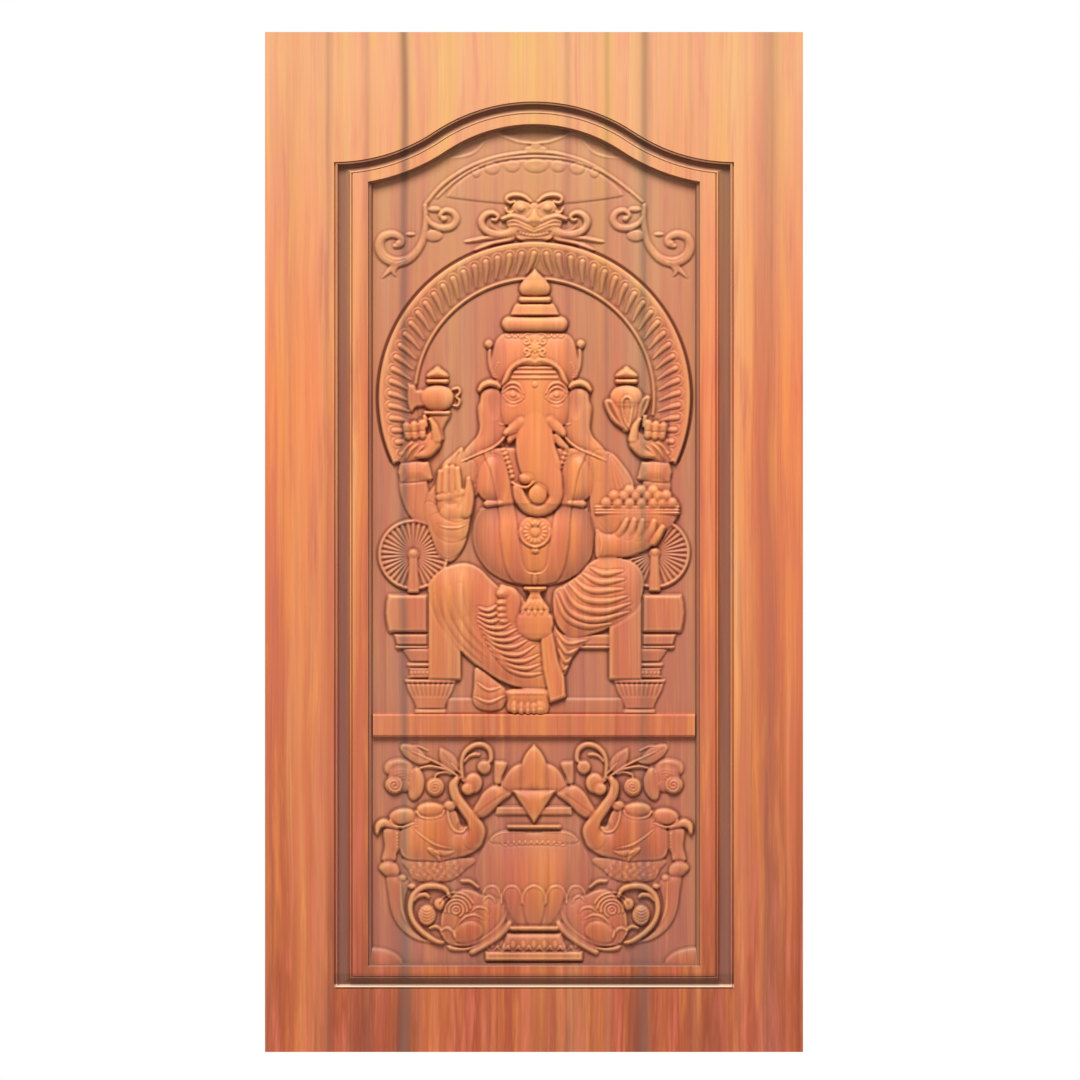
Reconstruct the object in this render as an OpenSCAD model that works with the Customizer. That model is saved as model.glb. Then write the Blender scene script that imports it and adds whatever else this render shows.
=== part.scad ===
// Carved temple door: a framed leaf with two carved panels in an ogee-headed moulding, on surface hinges.
// The front looks along -Y, the foot of the leaf stands on Z = 0, and X = 0 is its centre line.

/* [Leaf] */
// Width of the leaf
leaf_w = 1076; // [900:1:1300]
// Height of the leaf
leaf_h = 2040; // [1950:1:2400]
// Thickness of stiles and rails
leaf_t = 50; // [45:1:70]
// Width of a stile's face
stile_w = 138; // [100:1:180]
// Height of the bottom rail's face
bottom_rail_h = 127; // [100:1:180]
// Height of the ledge's lower edge
ledge_z = 630; // [600:1:660]
// Height of the ledge
ledge_h = 46; // [30:1:60]
// How far the ledge's face lies below the leaf's face
ledge_drop = 10; // [4:1:16]

/* [Ogee head] */
// Height of wood above the ogee's crown
crown_drop = 139; // [100:1:180]
// Rise of the ogee from the stiles to its crown
ogee_rise = 121; // [80:1:160]

/* [Moulding] */
// Width of the side mouldings
mould_w = 78; // [50:1:90]
// Width of the top and bottom mouldings as a part of the side width
mould_ratio = 0.66; // [0.5:0.01:1]
// How far the panel's ground lies below the leaf's face
ground_drop = 22; // [16:1:26]

/* [Panels and joints] */
// Height of the carving as a part of its full depth
carve_depth = 0.76; // [0.5:0.02:0.9]
// Thickness of the panels without their carving
panel_t = 16; // [12:1:20]
// How far a panel's edge runs into its groove
tongue = 10; // [6:1:14]
// Room left at the bottom of grooves and mortises
joint_room = 0.5; // [0.2:0.1:2]
// Length of a tenon
tenon_l = 70; // [40:1:100]
// Shoulder left above and below a tenon
tenon_shoulder = 20; // [10:1:30]
// Radius of a tenon peg
peg_r = 5; // [3:0.5:8]

/* [Hinges] */
// Height of a hinge
hinge_h = 125; // [75:1:150]
// Thickness of a hinge plate
plate_t = 3; // [2:0.5:4]
// Width of a hinge plate from the pin
plate_w = 52; // [46:1:60]
// Radius of a knuckle
knuckle_r = 7; // [5:0.5:10]
// Radius of a hinge pin
pin_r = 4; // [3:0.5:6]
// Radial clearance of the pin
pin_room = 0.05; // [0.02:0.01:0.1]
// Radius of a hinge screw's hole
screw_hole_r = 2.75; // [2:0.25:4]
// Length of a hinge screw
screw_l = 38; // [20:1:60]
// Distance of the end hinges from the ends of the leaf
hinge_end = 240; // [150:1:300]

/* [Hidden] */
$fn = 48;
half_w = leaf_w / 2;
face_y = -leaf_t / 2;
back_y = leaf_t / 2;
ground_y = face_y + ground_drop;
open_half = half_w - stile_w;
mould_h = mould_w * mould_ratio;
crown_z = leaf_h - crown_drop;
spring_z = crown_z - ogee_rise;
ogee_r = (open_half * open_half + ogee_rise * ogee_rise) / (4 * ogee_rise);
ogee_angle = asin(open_half / 2 / ogee_r);
ledge_top = ledge_z + ledge_h;
ledge_tenon_low = ledge_z + tongue + joint_room;
ledge_tenon_high = ledge_top - tongue - joint_room;
panel_half = open_half - mould_w;
foot_z = bottom_rail_h + mould_h;
carve_sink = 1.5;
small_n = 5;
limb_n = 5;
medium_n = 6;
large_n = 12;
turned_n = 12;
slot = 0.4;
knuckle_bite = 2;
pin_off = knuckle_r + plate_t - knuckle_bite;
pin_x = -half_w + pin_off;
pin_y = back_y + pin_off;
pilot_less = 0.2;
screw_x = [22, 40];
screw_z = [-42, 42];
hinge_zs = [leaf_h - hinge_end, leaf_h / 2, hinge_end];
knuckle_count = 5;
knuckle_l = (hinge_h - (knuckle_count - 1) * slot) / knuckle_count;
teak = [0.84, 0.52, 0.30];
teak_light = [0.90, 0.60, 0.37];
brass = [0.70, 0.54, 0.26];
steel = [0.66, 0.66, 0.68];

// Turns a flat drawing in x and height, raised toward the viewer, into the door's frame at depth y
module upright(y) translate([0, y, 0]) rotate([90, 0, 0]) children();

// Slab between two depths whose outline is drawn in x and height
module slab(front, back) upright(back) linear_extrude(back - front) children();

// Outline of the opening inside stiles and rails, widened all round by grow
module opening(grow) {
  half = open_half + grow;
  turn_x = (ogee_r + grow) * sin(ogee_angle);
  turn_z = crown_z - ogee_r + (ogee_r + grow) * cos(ogee_angle);
  body_h = spring_z - bottom_rail_h + 2 * grow;
  translate([-half, bottom_rail_h - grow]) square([2 * half, body_h]);
  intersection() {
    translate([0, crown_z - ogee_r]) circle(ogee_r + grow, $fn = 96);
    translate([-turn_x, spring_z]) square([2 * turn_x, ogee_rise + 2 * grow]);
  }
  for (side = [-1, 1])
    difference() {
      translate([side > 0 ? turn_x : -half, spring_z]) square([half - turn_x, turn_z - spring_z]);
      translate([side * open_half, spring_z + ogee_r]) circle(ogee_r - grow, $fn = 96);
    }
}

// Places one tenon's outline at each end of a rail
module tenons(low, high, room) {
  reach = open_half + tenon_l + room;
  slab(ground_y, ground_y + panel_t)
    translate([-reach, low]) square([2 * reach, high - low]);
}

module rail_tenons(room) {
  tenons(tenon_shoulder, bottom_rail_h - tenon_shoulder, room);
  tenons(ledge_tenon_low, ledge_tenon_high, room);
  tenons(spring_z + tenon_shoulder, leaf_h - tenon_shoulder, room);
}

// Heights of the pegs in the bottom, middle and top tenons
peg_end = 70;
peg_heights = [
  [bottom_rail_h * 0.35, bottom_rail_h * 0.65],
  [ledge_z + ledge_h / 2],
  [spring_z + peg_end, leaf_h - peg_end]
];
peg_x = open_half + tenon_l / 2;

module pegs(radius, room) {
  past_tenon = 6;
  peg_tip = ground_y - past_tenon - room;
  for (group = peg_heights, height = group, side = [-1, 1])
    upright(back_y)
      translate([side * peg_x, height])
        cylinder(h = back_y - peg_tip, r = radius);
}

// One stile, from which the panel groove, the mortises and the peg holes are cut
module stile(side) {
  difference() {
    translate([side > 0 ? open_half : -half_w, face_y, 0]) cube([stile_w, leaf_t, leaf_h]);
    slab(ground_y, ground_y + panel_t) opening(tongue + joint_room);
    rail_tenons(joint_room);
    pegs(peg_r + pin_room, joint_room);
  }
}

module left_stile() color(teak)
  difference() {
    stile(-1);
    for (height = hinge_zs, x = screw_x, z = screw_z)
      translate([pin_x + x, back_y + plate_t, height + z])
        rotate([90, 0, 0]) cylinder(h = screw_l + joint_room, r = screw_hole_r - pilot_less);
  }

module right_stile() color(teak) stile(1);

module top_rail() color(teak)
  difference() {
    union() {
      slab(face_y, back_y)
        difference() {
          translate([-open_half, spring_z]) square([2 * open_half, leaf_h - spring_z]);
          opening(0);
        }
      tenons(spring_z + tenon_shoulder, leaf_h - tenon_shoulder, 0);
    }
    slab(ground_y, ground_y + panel_t)
      intersection() {
        opening(tongue + joint_room);
        translate([-open_half, 0]) square([2 * open_half, leaf_h]);
      }
    pegs(peg_r + pin_room, joint_room);
  }

module bottom_rail() color(teak)
  difference() {
    union() {
      translate([-open_half, face_y, 0]) cube([2 * open_half, leaf_t, bottom_rail_h]);
      tenons(tenon_shoulder, bottom_rail_h - tenon_shoulder, 0);
    }
    slab(ground_y, ground_y + panel_t)
      translate([-open_half, bottom_rail_h - tongue - joint_room])
        square([2 * open_half, 2 * tongue]);
    pegs(peg_r + pin_room, joint_room);
  }

// The ledge: a rail grooved for both panels, whose face stands proud between the side mouldings
module middle_rail() color(teak_light) {
  bevel = 4;
  front = face_y + ledge_drop;
  tongue_back = ground_y + panel_t;
  difference() {
    union() {
      translate([-open_half, tongue_back, ledge_z])
        cube([2 * open_half, back_y - tongue_back, ledge_h]);
      tenons(ledge_tenon_low, ledge_tenon_high, 0);
      translate([-panel_half, 0, 0])
        rotate([90, 0, 90])
          linear_extrude(2 * panel_half)
            polygon([
              [ground_y, ledge_z], [front + bevel, ledge_z], [front, ledge_z + bevel],
              [front, ledge_top - bevel], [front + bevel, ledge_top], [ground_y, ledge_top],
              [ground_y, ledge_tenon_high], [0, ledge_tenon_high], [0, ledge_tenon_low],
              [ground_y, ledge_tenon_low]
            ]);
    }
    pegs(peg_r + pin_room, joint_room);
  }
}

module tenon_pegs() color(teak_light) pegs(peg_r, 0);

// Section of the moulding from its outer edge: bead, deep groove, cove, arris, fillet and stepped drop,
// as part of the width and height below the leaf's face
cove_from = 0.17;
cove_to = 0.40;
cove_deep = 16;
cove_high = 7;
function cove(n) = [
  for (i = [0:n])
    let (a = 90 * i / n)
    [cove_from + (cove_to - cove_from) * sin(a), -cove_high - (cove_deep - cove_high) * cos(a)]
];
function bead(from, to, low, high, n) = [
  for (i = [0:n])
    let (a = 180 * i / n)
    [(from + to) / 2 - (to - from) / 2 * cos(a), low + (high - low) * sin(a)]
];
mould_section = concat(
  [[0, -ground_drop], [0, -7]],
  bead(0.03, 0.10, -7, -2, 5),
  [[0.11, -cove_deep]],
  cove(5),
  [[0.41, -5], [0.44, -5], [0.45, -8], [0.47, -8], [0.48, -5], [0.87, -5]],
  [[0.90, -12], [0.95, -12.5], [1, -ground_drop]]
);

// The section drawn inward from x = from, toward +x or -x, with heights measured from the leaf's mid plane
module section(from, width)
  polygon([for (p = mould_section) [from + width * p[0], p[1] - face_y]]);

// Corner line of the mitre at the ogee's foot, as distance in from the stile against height
function mitre_z(in) = spring_z + ogee_r - sqrt(pow(ogee_r + mould_ratio * in, 2) - in * in);
mitre_line = [for (i = [0:4]) let (in = mould_w * i / 4) [-open_half + in, mitre_z(in)]];

module mitre_above()
  polygon(concat(mitre_line, [[-panel_half, crown_z], [-open_half, crown_z]]));
module mitre_below()
  polygon(concat(
    mitre_line,
    [[-panel_half, ledge_top], [-open_half - 1, ledge_top], [-open_half - 1, spring_z]]
  ));
module foot_mitre()
  polygon([
    [-open_half - 1, bottom_rail_h - mould_ratio], [-open_half, bottom_rail_h],
    [-panel_half, foot_z], [0, foot_z], [0, 0], [-open_half - 1, 0]
  ]);

module left_moulding() color(teak_light)
  difference() {
    translate([0, 0, bottom_rail_h])
      linear_extrude(spring_z - bottom_rail_h) mirror([0, 1]) section(-open_half, mould_w);
    slab(face_y - 1, back_y) mitre_above();
    slab(face_y - 1, back_y) foot_mitre();
  }

module right_moulding() mirror([1, 0, 0]) left_moulding();

module bottom_moulding() color(teak_light)
  intersection() {
    translate([-open_half, 0, 0])
      rotate([90, 0, 90])
        linear_extrude(2 * open_half)
          mirror([1, 0]) rotate(90) mirror([0, 1]) section(bottom_rail_h, mould_h);
    slab(face_y - 1, back_y)
      polygon([
        [-open_half, bottom_rail_h], [-panel_half, foot_z],
        [panel_half, foot_z], [open_half, bottom_rail_h]
      ]);
  }

// The curved head is cut in three lengths: a crown and two flanks that turn the other way
module crown_moulding() color(teak_light)
  translate([0, 0, crown_z - ogee_r])
    rotate([90, 0, 0]) rotate(90 - ogee_angle)
      rotate_extrude(angle = 2 * ogee_angle, $fn = 96) section(ogee_r, -mould_h);

module left_flank_moulding() color(teak_light)
  difference() {
    translate([-open_half, 0, spring_z + ogee_r])
      rotate([90, 0, 0]) rotate(270)
        rotate_extrude(angle = ogee_angle, $fn = 96) section(ogee_r, mould_h);
    slab(face_y - 1, back_y) mitre_below();
  }

module right_flank_moulding() mirror([1, 0, 0]) left_flank_moulding();

// Every second knuckle of a hinge about its pin, grown by radius and room
module knuckles(first, radius, room) {
  pitch = knuckle_l + slot;
  for (i = [first:2:knuckle_count - 1])
    translate([0, 0, -hinge_h / 2 + i * pitch - room])
      cylinder(h = knuckle_l + 2 * room, r = radius);
}

// One plate beside its pin, with its own knuckles, cleared round the other plate's, screws sunk from the face
module hinge_plate(first) {
  sink = 2;
  difference() {
    union() {
      difference() {
        translate([0, -pin_off, -hinge_h / 2]) cube([plate_w, plate_t, hinge_h]);
        knuckles(1 - first, knuckle_r + slot, slot);
      }
      knuckles(first, knuckle_r, 0);
    }
    translate([0, 0, -hinge_h]) cylinder(h = 2 * hinge_h, r = pin_r + pin_room);
    for (x = screw_x, z = screw_z)
      translate([x, plate_t - pin_off, z])
        rotate([90, 0, 0]) {
          translate([0, 0, -1]) cylinder(h = plate_t + 2, r = screw_hole_r);
          cylinder(h = sink, r1 = screw_hole_r + sink, r2 = screw_hole_r);
        }
  }
}

module at_pin(i) translate([pin_x, pin_y, hinge_zs[i]]) children();

// The leaf plate lies on the stile's back, the jamb plate stands square to it behind the leaf
module hinge_leaf_plate(i) color(brass) at_pin(i) hinge_plate(1);

module hinge_jamb_plate(i) color(brass) at_pin(i) mirror([1, -1, 0]) hinge_plate(0);

module hinge_pin(i) color(steel) {
  cap_h = 4;
  cap_r = knuckle_r - 0.5;
  at_pin(i) {
    translate([0, 0, -hinge_h / 2 - cap_h]) cylinder(h = hinge_h + 2 * cap_h, r = pin_r);
    for (end = [0, 1])
      mirror([0, 0, end])
        translate([0, 0, hinge_h / 2]) {
          cylinder(h = cap_h, r = cap_r);
          translate([0, 0, cap_h]) cylinder(h = 2, r1 = cap_r, r2 = pin_r - 1);
        }
  }
}

module hinge_screws() color(brass) {
  shank_r = screw_hole_r - 0.25;
  head_h = 1.9;
  head_sink = 0.1;
  tip_l = 6;
  for (i = [0:2], x = screw_x, z = screw_z)
    translate([pin_x + x, back_y + plate_t - head_sink, hinge_zs[i] + z])
      rotate([90, 0, 0]) {
        cylinder(h = screw_l - tip_l, r = shank_r);
        cylinder(h = head_h, r1 = shank_r + head_h - head_sink, r2 = shank_r);
        translate([0, 0, screw_l - tip_l]) cylinder(h = tip_l, r1 = shank_r, r2 = 0.6);
      }
}

// Carving: everything below is drawn in x, height and relief above the panel's ground

// Half ellipsoid from [x, height, half width, half height, relief]
module dome(d, turn = 0, around = large_n, rings = 3)
  translate([d[0], d[1], -carve_sink])
    rotate(turn)
      scale([d[2], d[3], carve_depth * d[4] + carve_sink])
        rotate_extrude($fn = around)
          polygon(concat([[0, 0]], [for (i = [0:rings]) let (a = 90 * i / rings) [cos(a), sin(a)]]));

// Rounded limb through points [x, height, radius, relief]
module limb(path, around = limb_n)
  for (i = [1:len(path) - 1])
    hull()
      for (p = [path[i - 1], path[i]])
        dome([p[0], p[1], p[2], p[2], p[3]], 180 / around, around, 2);

// Flat-topped plate with a drawn outline
module plate(relief)
  translate([0, 0, -carve_sink]) linear_extrude(carve_depth * relief + carve_sink) children();

// Box from [left, right, bottom, top, relief]
module block(b) plate(b[4]) translate([b[0], b[2]]) square([b[1] - b[0], b[3] - b[2]]);

// Half of a turned shape whose profile is [radius, height], pressed flat to the given part of its depth
module half_turned(x, profile, press, around = turned_n) {
  low = profile[0][1];
  high = profile[len(profile) - 1][1];
  translate([x, 0, -carve_sink])
    scale([1, 1, carve_depth * press])
      rotate([90, 0, 180])
        rotate_extrude(angle = 180, $fn = around) polygon(concat([[0, low]], profile, [[0, high]]));
}

// Pointed leaf from [x, height, length, width, relief], pointing along turn
module leaf(d, turn)
  hull() {
    dome([d[0], d[1], d[3] / 2, d[3] / 2, d[4]], turn, small_n, 2);
    translate([d[0] + d[2] * cos(turn), d[1] + d[2] * sin(turn), -carve_sink])
      cylinder(h = carve_sink + 1, r = 1, $fn = 4);
  }

// Ridge along a spiral from [x, height, outer radius, relief], with its width and number of turns
function spiral(radius, turns, start, hand, n) = [
  for (i = [0:n])
    let (r = radius * (1 - 0.8 * i / n), a = start + hand * 360 * turns * i / n)
    [r * cos(a), r * sin(a)]
];
module volute(d, width, turns, start, hand) {
  n = 11;
  outer = spiral(d[2], turns, start, hand, n);
  inner = spiral(d[2] - width, turns, start, hand, n);
  plate(d[3])
    translate([d[0], d[1]])
      polygon(concat(outer, [for (i = [n:-1:0]) inner[i]]));
}

// Strip of even width along an arc about [x, height]
module arc_strip(centre, r_in, r_out, from, to, relief, n = 16) {
  angles = [for (i = [0:n]) from + (to - from) * i / n];
  plate(relief)
    translate(centre)
      polygon(concat(
        [for (a = angles) r_out * [cos(a), sin(a)]],
        [for (i = [n:-1:0]) r_in * [cos(angles[i]), sin(angles[i])]]
      ));
}

// Both a shape and its mirror image across the centre line
module pair() {
  children();
  mirror([1, 0, 0]) children();
}

// The carving is drawn for panels of these sizes, and is spread to the panels as they are
drawn_half = 322;
drawn_tall = [676, 1780];
drawn_low = [178.48, 630];
module carved(drawn, low, high)
  upright(ground_y)
    translate([0, low])
      scale([panel_half / drawn_half, (high - low) / (drawn[1] - drawn[0]), 1])
        translate([0, -drawn[0]])
          children();

halo_centre = [0, 1308];
halo_gap = 10;
halo_r = drawn_half - halo_gap;
halo_from = -23;
halo_to = 203;
petal_pitch = 9.4;

module halo() {
  bead_r = 238;
  rim_high = 12;
  petal_r = 270;
  petal_l = 27;
  petal_w = 17;
  translate([halo_centre[0], halo_centre[1], -carve_sink])
    scale([1, 1, carve_depth])
      rotate(halo_from)
        rotate_extrude(angle = halo_to - halo_from, $fn = 36)
          polygon([
            [bead_r, 0], [bead_r, 8], [bead_r + 8, 6], [halo_r - 18, 7],
            [halo_r - 14, rim_high], [halo_r, rim_high], [halo_r, 0]
          ]);
  for (a = [halo_from + petal_pitch / 2:petal_pitch:halo_to])
    translate(halo_centre)
      rotate(a)
        translate([petal_r, 0, 0])
          scale([petal_l, petal_w, rim_high * carve_depth])
            cylinder(h = 1, r1 = 1, r2 = 0.4, $fn = 4);
}

module canopy() {
  rib = 280;
  rib_centre = [0, 1526];
  rib_span = 48;
  body = 240;
  body_centre = [0, 1555];
  lower_z = 1712;
  scallops = [0, 45, 86, 118];
  arc_strip(rib_centre, rib - 10, rib, 90 - rib_span, 90 + rib_span, 6, 16);
  plate(4)
    difference() {
      translate(body_centre) circle(body, $fn = 48);
      translate([-body, 0]) square([2 * body, lower_z]);
    }
  pair()
    for (x = scallops)
      dome([x, 1762 - x * x / 900, 20, 14, 8], 0, small_n, 2);
}

module mask() {
  dome([0, 1664, 62, 46, 14], 0, large_n, 3);
  pair() {
    dome([25, 1690, 15, 12, 19], 0, small_n, 2);
    limb([[14, 1704, 6, 17], [48, 1704, 8, 14]], small_n);
    dome([84, 1666, 18, 18, 10], 0, small_n, 2);
    leaf([60, 1646, 80, 28, 9], -18);
    leaf([54, 1634, 66, 26, 9], -30);
  }
  dome([0, 1668, 15, 13, 22], 0, small_n, 2);
  dome([0, 1634, 40, 12, 17], 0, medium_n, 2);
}

module top_scrolls() pair() {
  volute([276, 1610, 34, 8], 12, 1.2, 200, -1);
  leaf([292, 1590, 44, 22, 6], -100);
  limb([[250, 1582, 8, 6], [222, 1606, 9, 7], [216, 1700, 6, 6]], small_n);
  volute([180, 1668, 30, 8], 11, 1.2, 20, 1);
}

module crown() {
  profile = [
    [66, 1345], [86, 1384], [88, 1412], [72, 1438], [64, 1441], [66, 1456], [58, 1471],
    [48, 1474], [44, 1496], [30, 1500], [31, 1510], [20, 1513], [29, 1530], [16, 1550], [2, 1565]
  ];
  half_turned(2, profile, 0.28);
  pair() limb([[74, 1352, 8, 12], [92, 1414, 10, 12]], small_n);
  dome([2, 1412, 13, 13, 28], 0, small_n, 2);
}

module head() {
  trunk = [
    [2, 1330, 22, 24], [2, 1270, 30, 27], [3, 1215, 37, 28], [16, 1168, 34, 28], [38, 1128, 20, 26],
    [34, 1100, 14, 24], [6, 1087, 12, 22], [-22, 1098, 12, 21], [-32, 1124, 12, 20]
  ];
  dome([2, 1318, 68, 72, 20], 0, large_n, 3);
  pair() {
    limb([[66, 1332, 12, 12], [106, 1324, 13, 12]], small_n);
    plate(6)
      polygon([[60, 1330], [108, 1326], [104, 1280], [112, 1240], [148, 1180], [62, 1230]]);
    limb([[60, 1234, 6, 12], [144, 1182, 4, 8]], small_n);
    dome([43, 1314, 17, 10, 24], 0, small_n, 2);
  }
  arc_strip([2, 1290], 82, 92, 40, 140, 22, 10);
  limb([[40, 1250, 9, 22], [70, 1210, 4, 16]], small_n);
  limb([[-36, 1256, 9, 22], [-52, 1232, 8, 18]], small_n);
  limb(trunk);
  dome([6, 1117, 20, 20, 28], 0, medium_n, 2);
}

module torso() {
  tassel = [[8, 806], [26, 822], [37, 850], [28, 874], [34, 880], [30, 890], [13, 900], [20, 926]];
  dome([2, 1016, 124, 84, 24], 0, large_n, 3);
  pair() {
    dome([92, 1146, 28, 42, 16], 0, medium_n, 2);
    limb([[98, 1206, 16, 14], [48, 1072, 17, 25]], small_n);
  }
  arc_strip([2, 1010], 34, 66, 180, 360, 27, 12);
  for (x = [-48, 52]) plate(27) translate([x - 16, 1008]) square([32, 66]);
  dome([2, 1046, 32, 32, 28], 0, medium_n, 2);
  half_turned(2, tassel, 0.7);
}

// Four fingers side by side from [x, height, length, pitch, relief], fanned a little about the turn
module fingers(d, turn) {
  fan = 5;
  for (i = [0:3])
    translate([d[0], d[1], 0])
      rotate(turn + fan * (1.5 - i))
        dome([(i - 1.5) * d[3], d[2] / 2, d[3] * 0.5, d[2] * 0.62, d[4]], 0, small_n, 2);
}

module raised_arm() {
  limb([[-110, 1160, 26, 12], [-216, 1072, 30, 11], [-238, 1168, 28, 14]]);
  dome([-222, 1216, 32, 40, 16], 0, medium_n, 2);
  fingers([-240, 1226, 30, 15, 19], 8);
  limb([[-196, 1208, 9, 18], [-214, 1262, 7, 18]], small_n);
}

module arms() {
  pair() raised_arm();
  limb([[-104, 1150, 30, 14], [-172, 1010, 32, 16]]);
  dome([-158, 1092, 36, 36, 20], 0, medium_n, 2);
  fingers([-167, 1113, 56, 12, 21], 0);
  limb([[-136, 1086, 9, 20], [-126, 1140, 7, 18]], small_n);
  limb([[104, 1150, 30, 14], [146, 1020, 32, 18], [210, 1040, 24, 20]]);
  fingers([206, 1034, 36, 12, 24], 0);
}

module offerings() {
  rows = [[1099, [146, 172, 198, 224, 250, 274]], [1115, [159, 185, 211, 237, 260]], [1130, [198, 224]]];
  pot = [[27, 1276], [22, 1284], [34, 1308], [16, 1334], [21, 1336], [21, 1348], [3, 1369]];
  half_turned(207, [[20, 1044], [58, 1060], [76, 1074], [83, 1076], [83, 1092]], 0.28);
  for (row = rows, x = row[1]) dome([x, row[0], 12, 10, 16], 0, small_n, 2);
  half_turned(-194, pot, 0.5);
  half_turned(187, pot, 0.5);
  leaf([196, 1262, 56, 22, 14], 40);
  leaf([178, 1262, 56, 22, 14], 140);
  leaf([-238, 1286, 52, 20, 8], 96);
}

module left_leg() {
  folds = 6;
  hull() {
    dome([-150, 918, 62, 56, 20], 0, medium_n, 2);
    dome([-40, 790, 66, 60, 16], 0, medium_n, 2);
  }
  for (i = [0:folds - 1])
    limb([
      [-192 + 17 * i, 888 - 4 * i, 6, 22], [-70 + 12 * i, 780 - 9 * i, 6, 21]
    ], small_n);
}

module right_leg() {
  folds = 5;
  hull() {
    dome([160, 932, 60, 52, 20], 0, medium_n, 2);
    dome([70, 890, 40, 40, 18], 0, medium_n, 2);
  }
  for (i = [0:folds - 1])
    rotate_about([44, 912], -50 + 20 * i)
      limb([[86, 912, 5, 24], [168 - 3 * i, 912, 6, 21]], small_n);
}

// Turns a shape about a point of the panel
module rotate_about(point, turn) translate(point) rotate(turn) translate(-point) children();

module feet() {
  limb([[-52, 938, 13, 22], [-56, 858, 13, 22]], limb_n);
  for (i = [0:4]) dome([-62, 926 - 16 * i, 13, 8, 25], 0, small_n, 2);
  dome([-88, 722, 36, 38, 16], 0, medium_n, 2);
  limb([[-30, 712, 16, 16], [12, 712, 16, 16]], limb_n);
  for (i = [0:4]) dome([-44 + 17 * i, 692, 9, 14, 18], 0, small_n, 2);
  plate(13) polygon([[2, 822], [30, 826], [72, 708], [42, 700]]);
  for (i = [0, 1]) leaf([50 + 18 * i, 844, 90, 30, 12], -96 + 26 * i);
}

module wheel(x) {
  centre = [x, 995];
  rim = 71;
  spokes = 13;
  hub_r = 14;
  half_pitch = 180 / spokes;
  arc_strip(centre, rim - 11, rim, 0, 360, 10, 16);
  plate(6)
    translate(centre)
      polygon([
        for (i = [0:spokes - 1], end = [0, 1])
          (end ? rim - 8 : hub_r) * [cos((2 * i + end) * half_pitch), sin((2 * i + end) * half_pitch)]
      ]);
  half_turned(x, [[12, 915], [8, 1003]], 1);
}

module throne() {
  foot = [[30, 677], [30, 685], [26, 692], [34, 712], [51, 738], [51, 746], [30, 748]];
  pair() {
    block([212, 298, 838, 914, 14]);
    block([212, 280, 814, 838, 11]);
    block([212, 266, 802, 808, 14]);
    block([212, 264, 780, 800, 9]);
    block([212, 260, 746, 772, 11]);
    block([150, 212, 742, 916, 17]);
    half_turned(207, foot, 0.35);
  }
  block([80, 152, 812, 838, 14]);
  block([-174, 180, 677, 710, 8]);
}

// The tall panel: a board with its tongue, and all that is carved on it
module upper_panel() color(teak) {
  slab(ground_y, ground_y + panel_t)
    intersection() {
      opening(tongue);
      translate([-half_w, ledge_top - tongue]) square([leaf_w, leaf_h]);
    }
  carved(drawn_tall, ledge_top, spring_z) {
    canopy();
    mask();
    top_scrolls();
    halo();
    throne();
    wheel(-241);
    wheel(241);
    arms();
    offerings();
    torso();
    left_leg();
    right_leg();
    feet();
    head();
    crown();
  }
}

module vase() {
  profile = [
    [96, 181], [96, 200], [66, 203], [42, 240], [48, 252], [100, 330], [110, 364], [90, 400], [62, 416],
    [70, 430], [44, 448], [74, 486], [66, 494]
  ];
  half_turned(0, profile, 0.16);
  for (x = [-88, -46, 0, 46, 88])
    leaf([x * 0.75, 318 - abs(x) * 0.1, 62, 40, 17], -90 + x * 0.36);
  leaf([-2, 520, 62, 62, 14], -90);
  leaf([-2, 556, 60, 38, 17], 90);
  pair() {
    leaf([34, 540, 52, 32, 15], 112);
    leaf([58, 544, 46, 28, 12], 72);
    leaf([56, 516, 86, 40, 11], -38);
  }
}

module elephant() {
  neck = [
    [-152, 452, 16, 15], [-136, 408, 18, 16], [-116, 446, 15, 15], [-164, 538, 9, 12], [-150, 556, 8, 11]
  ];
  dome([-212, 426, 64, 48, 16], 0, large_n, 3);
  dome([-209, 476, 31, 24, 14], 0, medium_n, 2);
  dome([-264, 462, 28, 28, 13], 0, medium_n, 2);
  limb([[-298, 450, 13, 11], [-286, 388, 15, 12]], small_n);
  limb(neck, small_n);
  dome([-192, 362, 56, 26, 9], 0, medium_n, 2);
  arc_strip([-212, 440], 34, 40, 190, 350, 18, 6);
}

module bouquet() {
  dome([-124, 548, 18, 18, 12], 0, small_n, 2);
  dome([-130, 527, 15, 15, 12], 0, small_n, 2);
  leaf([-206, 584, 62, 24, 9], 152);
  leaf([-164, 578, 44, 22, 9], 108);
  limb([[-150, 556, 5, 8], [-136, 608, 5, 8], [-106, 612, 5, 8], [-96, 580, 4, 8]], small_n);
  dome([-100, 570, 14, 14, 11], 0, small_n, 2);
  dome([-280, 534, 24, 24, 10], 0, medium_n, 2);
  leaf([-250, 550, 44, 24, 9], 40);
  leaf([-249, 527, 42, 24, 10], -12);
  dome([-198, 530, 18, 18, 11], 0, small_n, 2);
}

module low_scroll() {
  limb([[-272, 354, 12, 9], [-282, 290, 12, 10], [-250, 234, 11, 10], [-180, 214, 8, 8]], small_n);
  leaf([-272, 354, 36, 22, 10], 74);
  leaf([-292, 350, 34, 22, 9], 118);
  volute([-214, 286, 44, 10], 13, 1.1, 120, 1);
  dome([-214, 276, 16, 16, 12], 0, small_n, 2);
  volute([-154, 286, 29, 14], 8, 1.7, 30, -1);
  leaf([-118, 300, 60, 32, 11], 24);
  leaf([-119, 273, 60, 32, 10], -20);
  leaf([-172, 214, 128, 22, 9], 20);
}

module corner_fan(relief) {
  corner = [-drawn_half, drawn_low[0]];
  plate(relief)
    intersection() {
      translate(corner) scale([56, 34]) circle(1, $fn = 24);
      translate(corner) square(60);
    }
}

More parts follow.
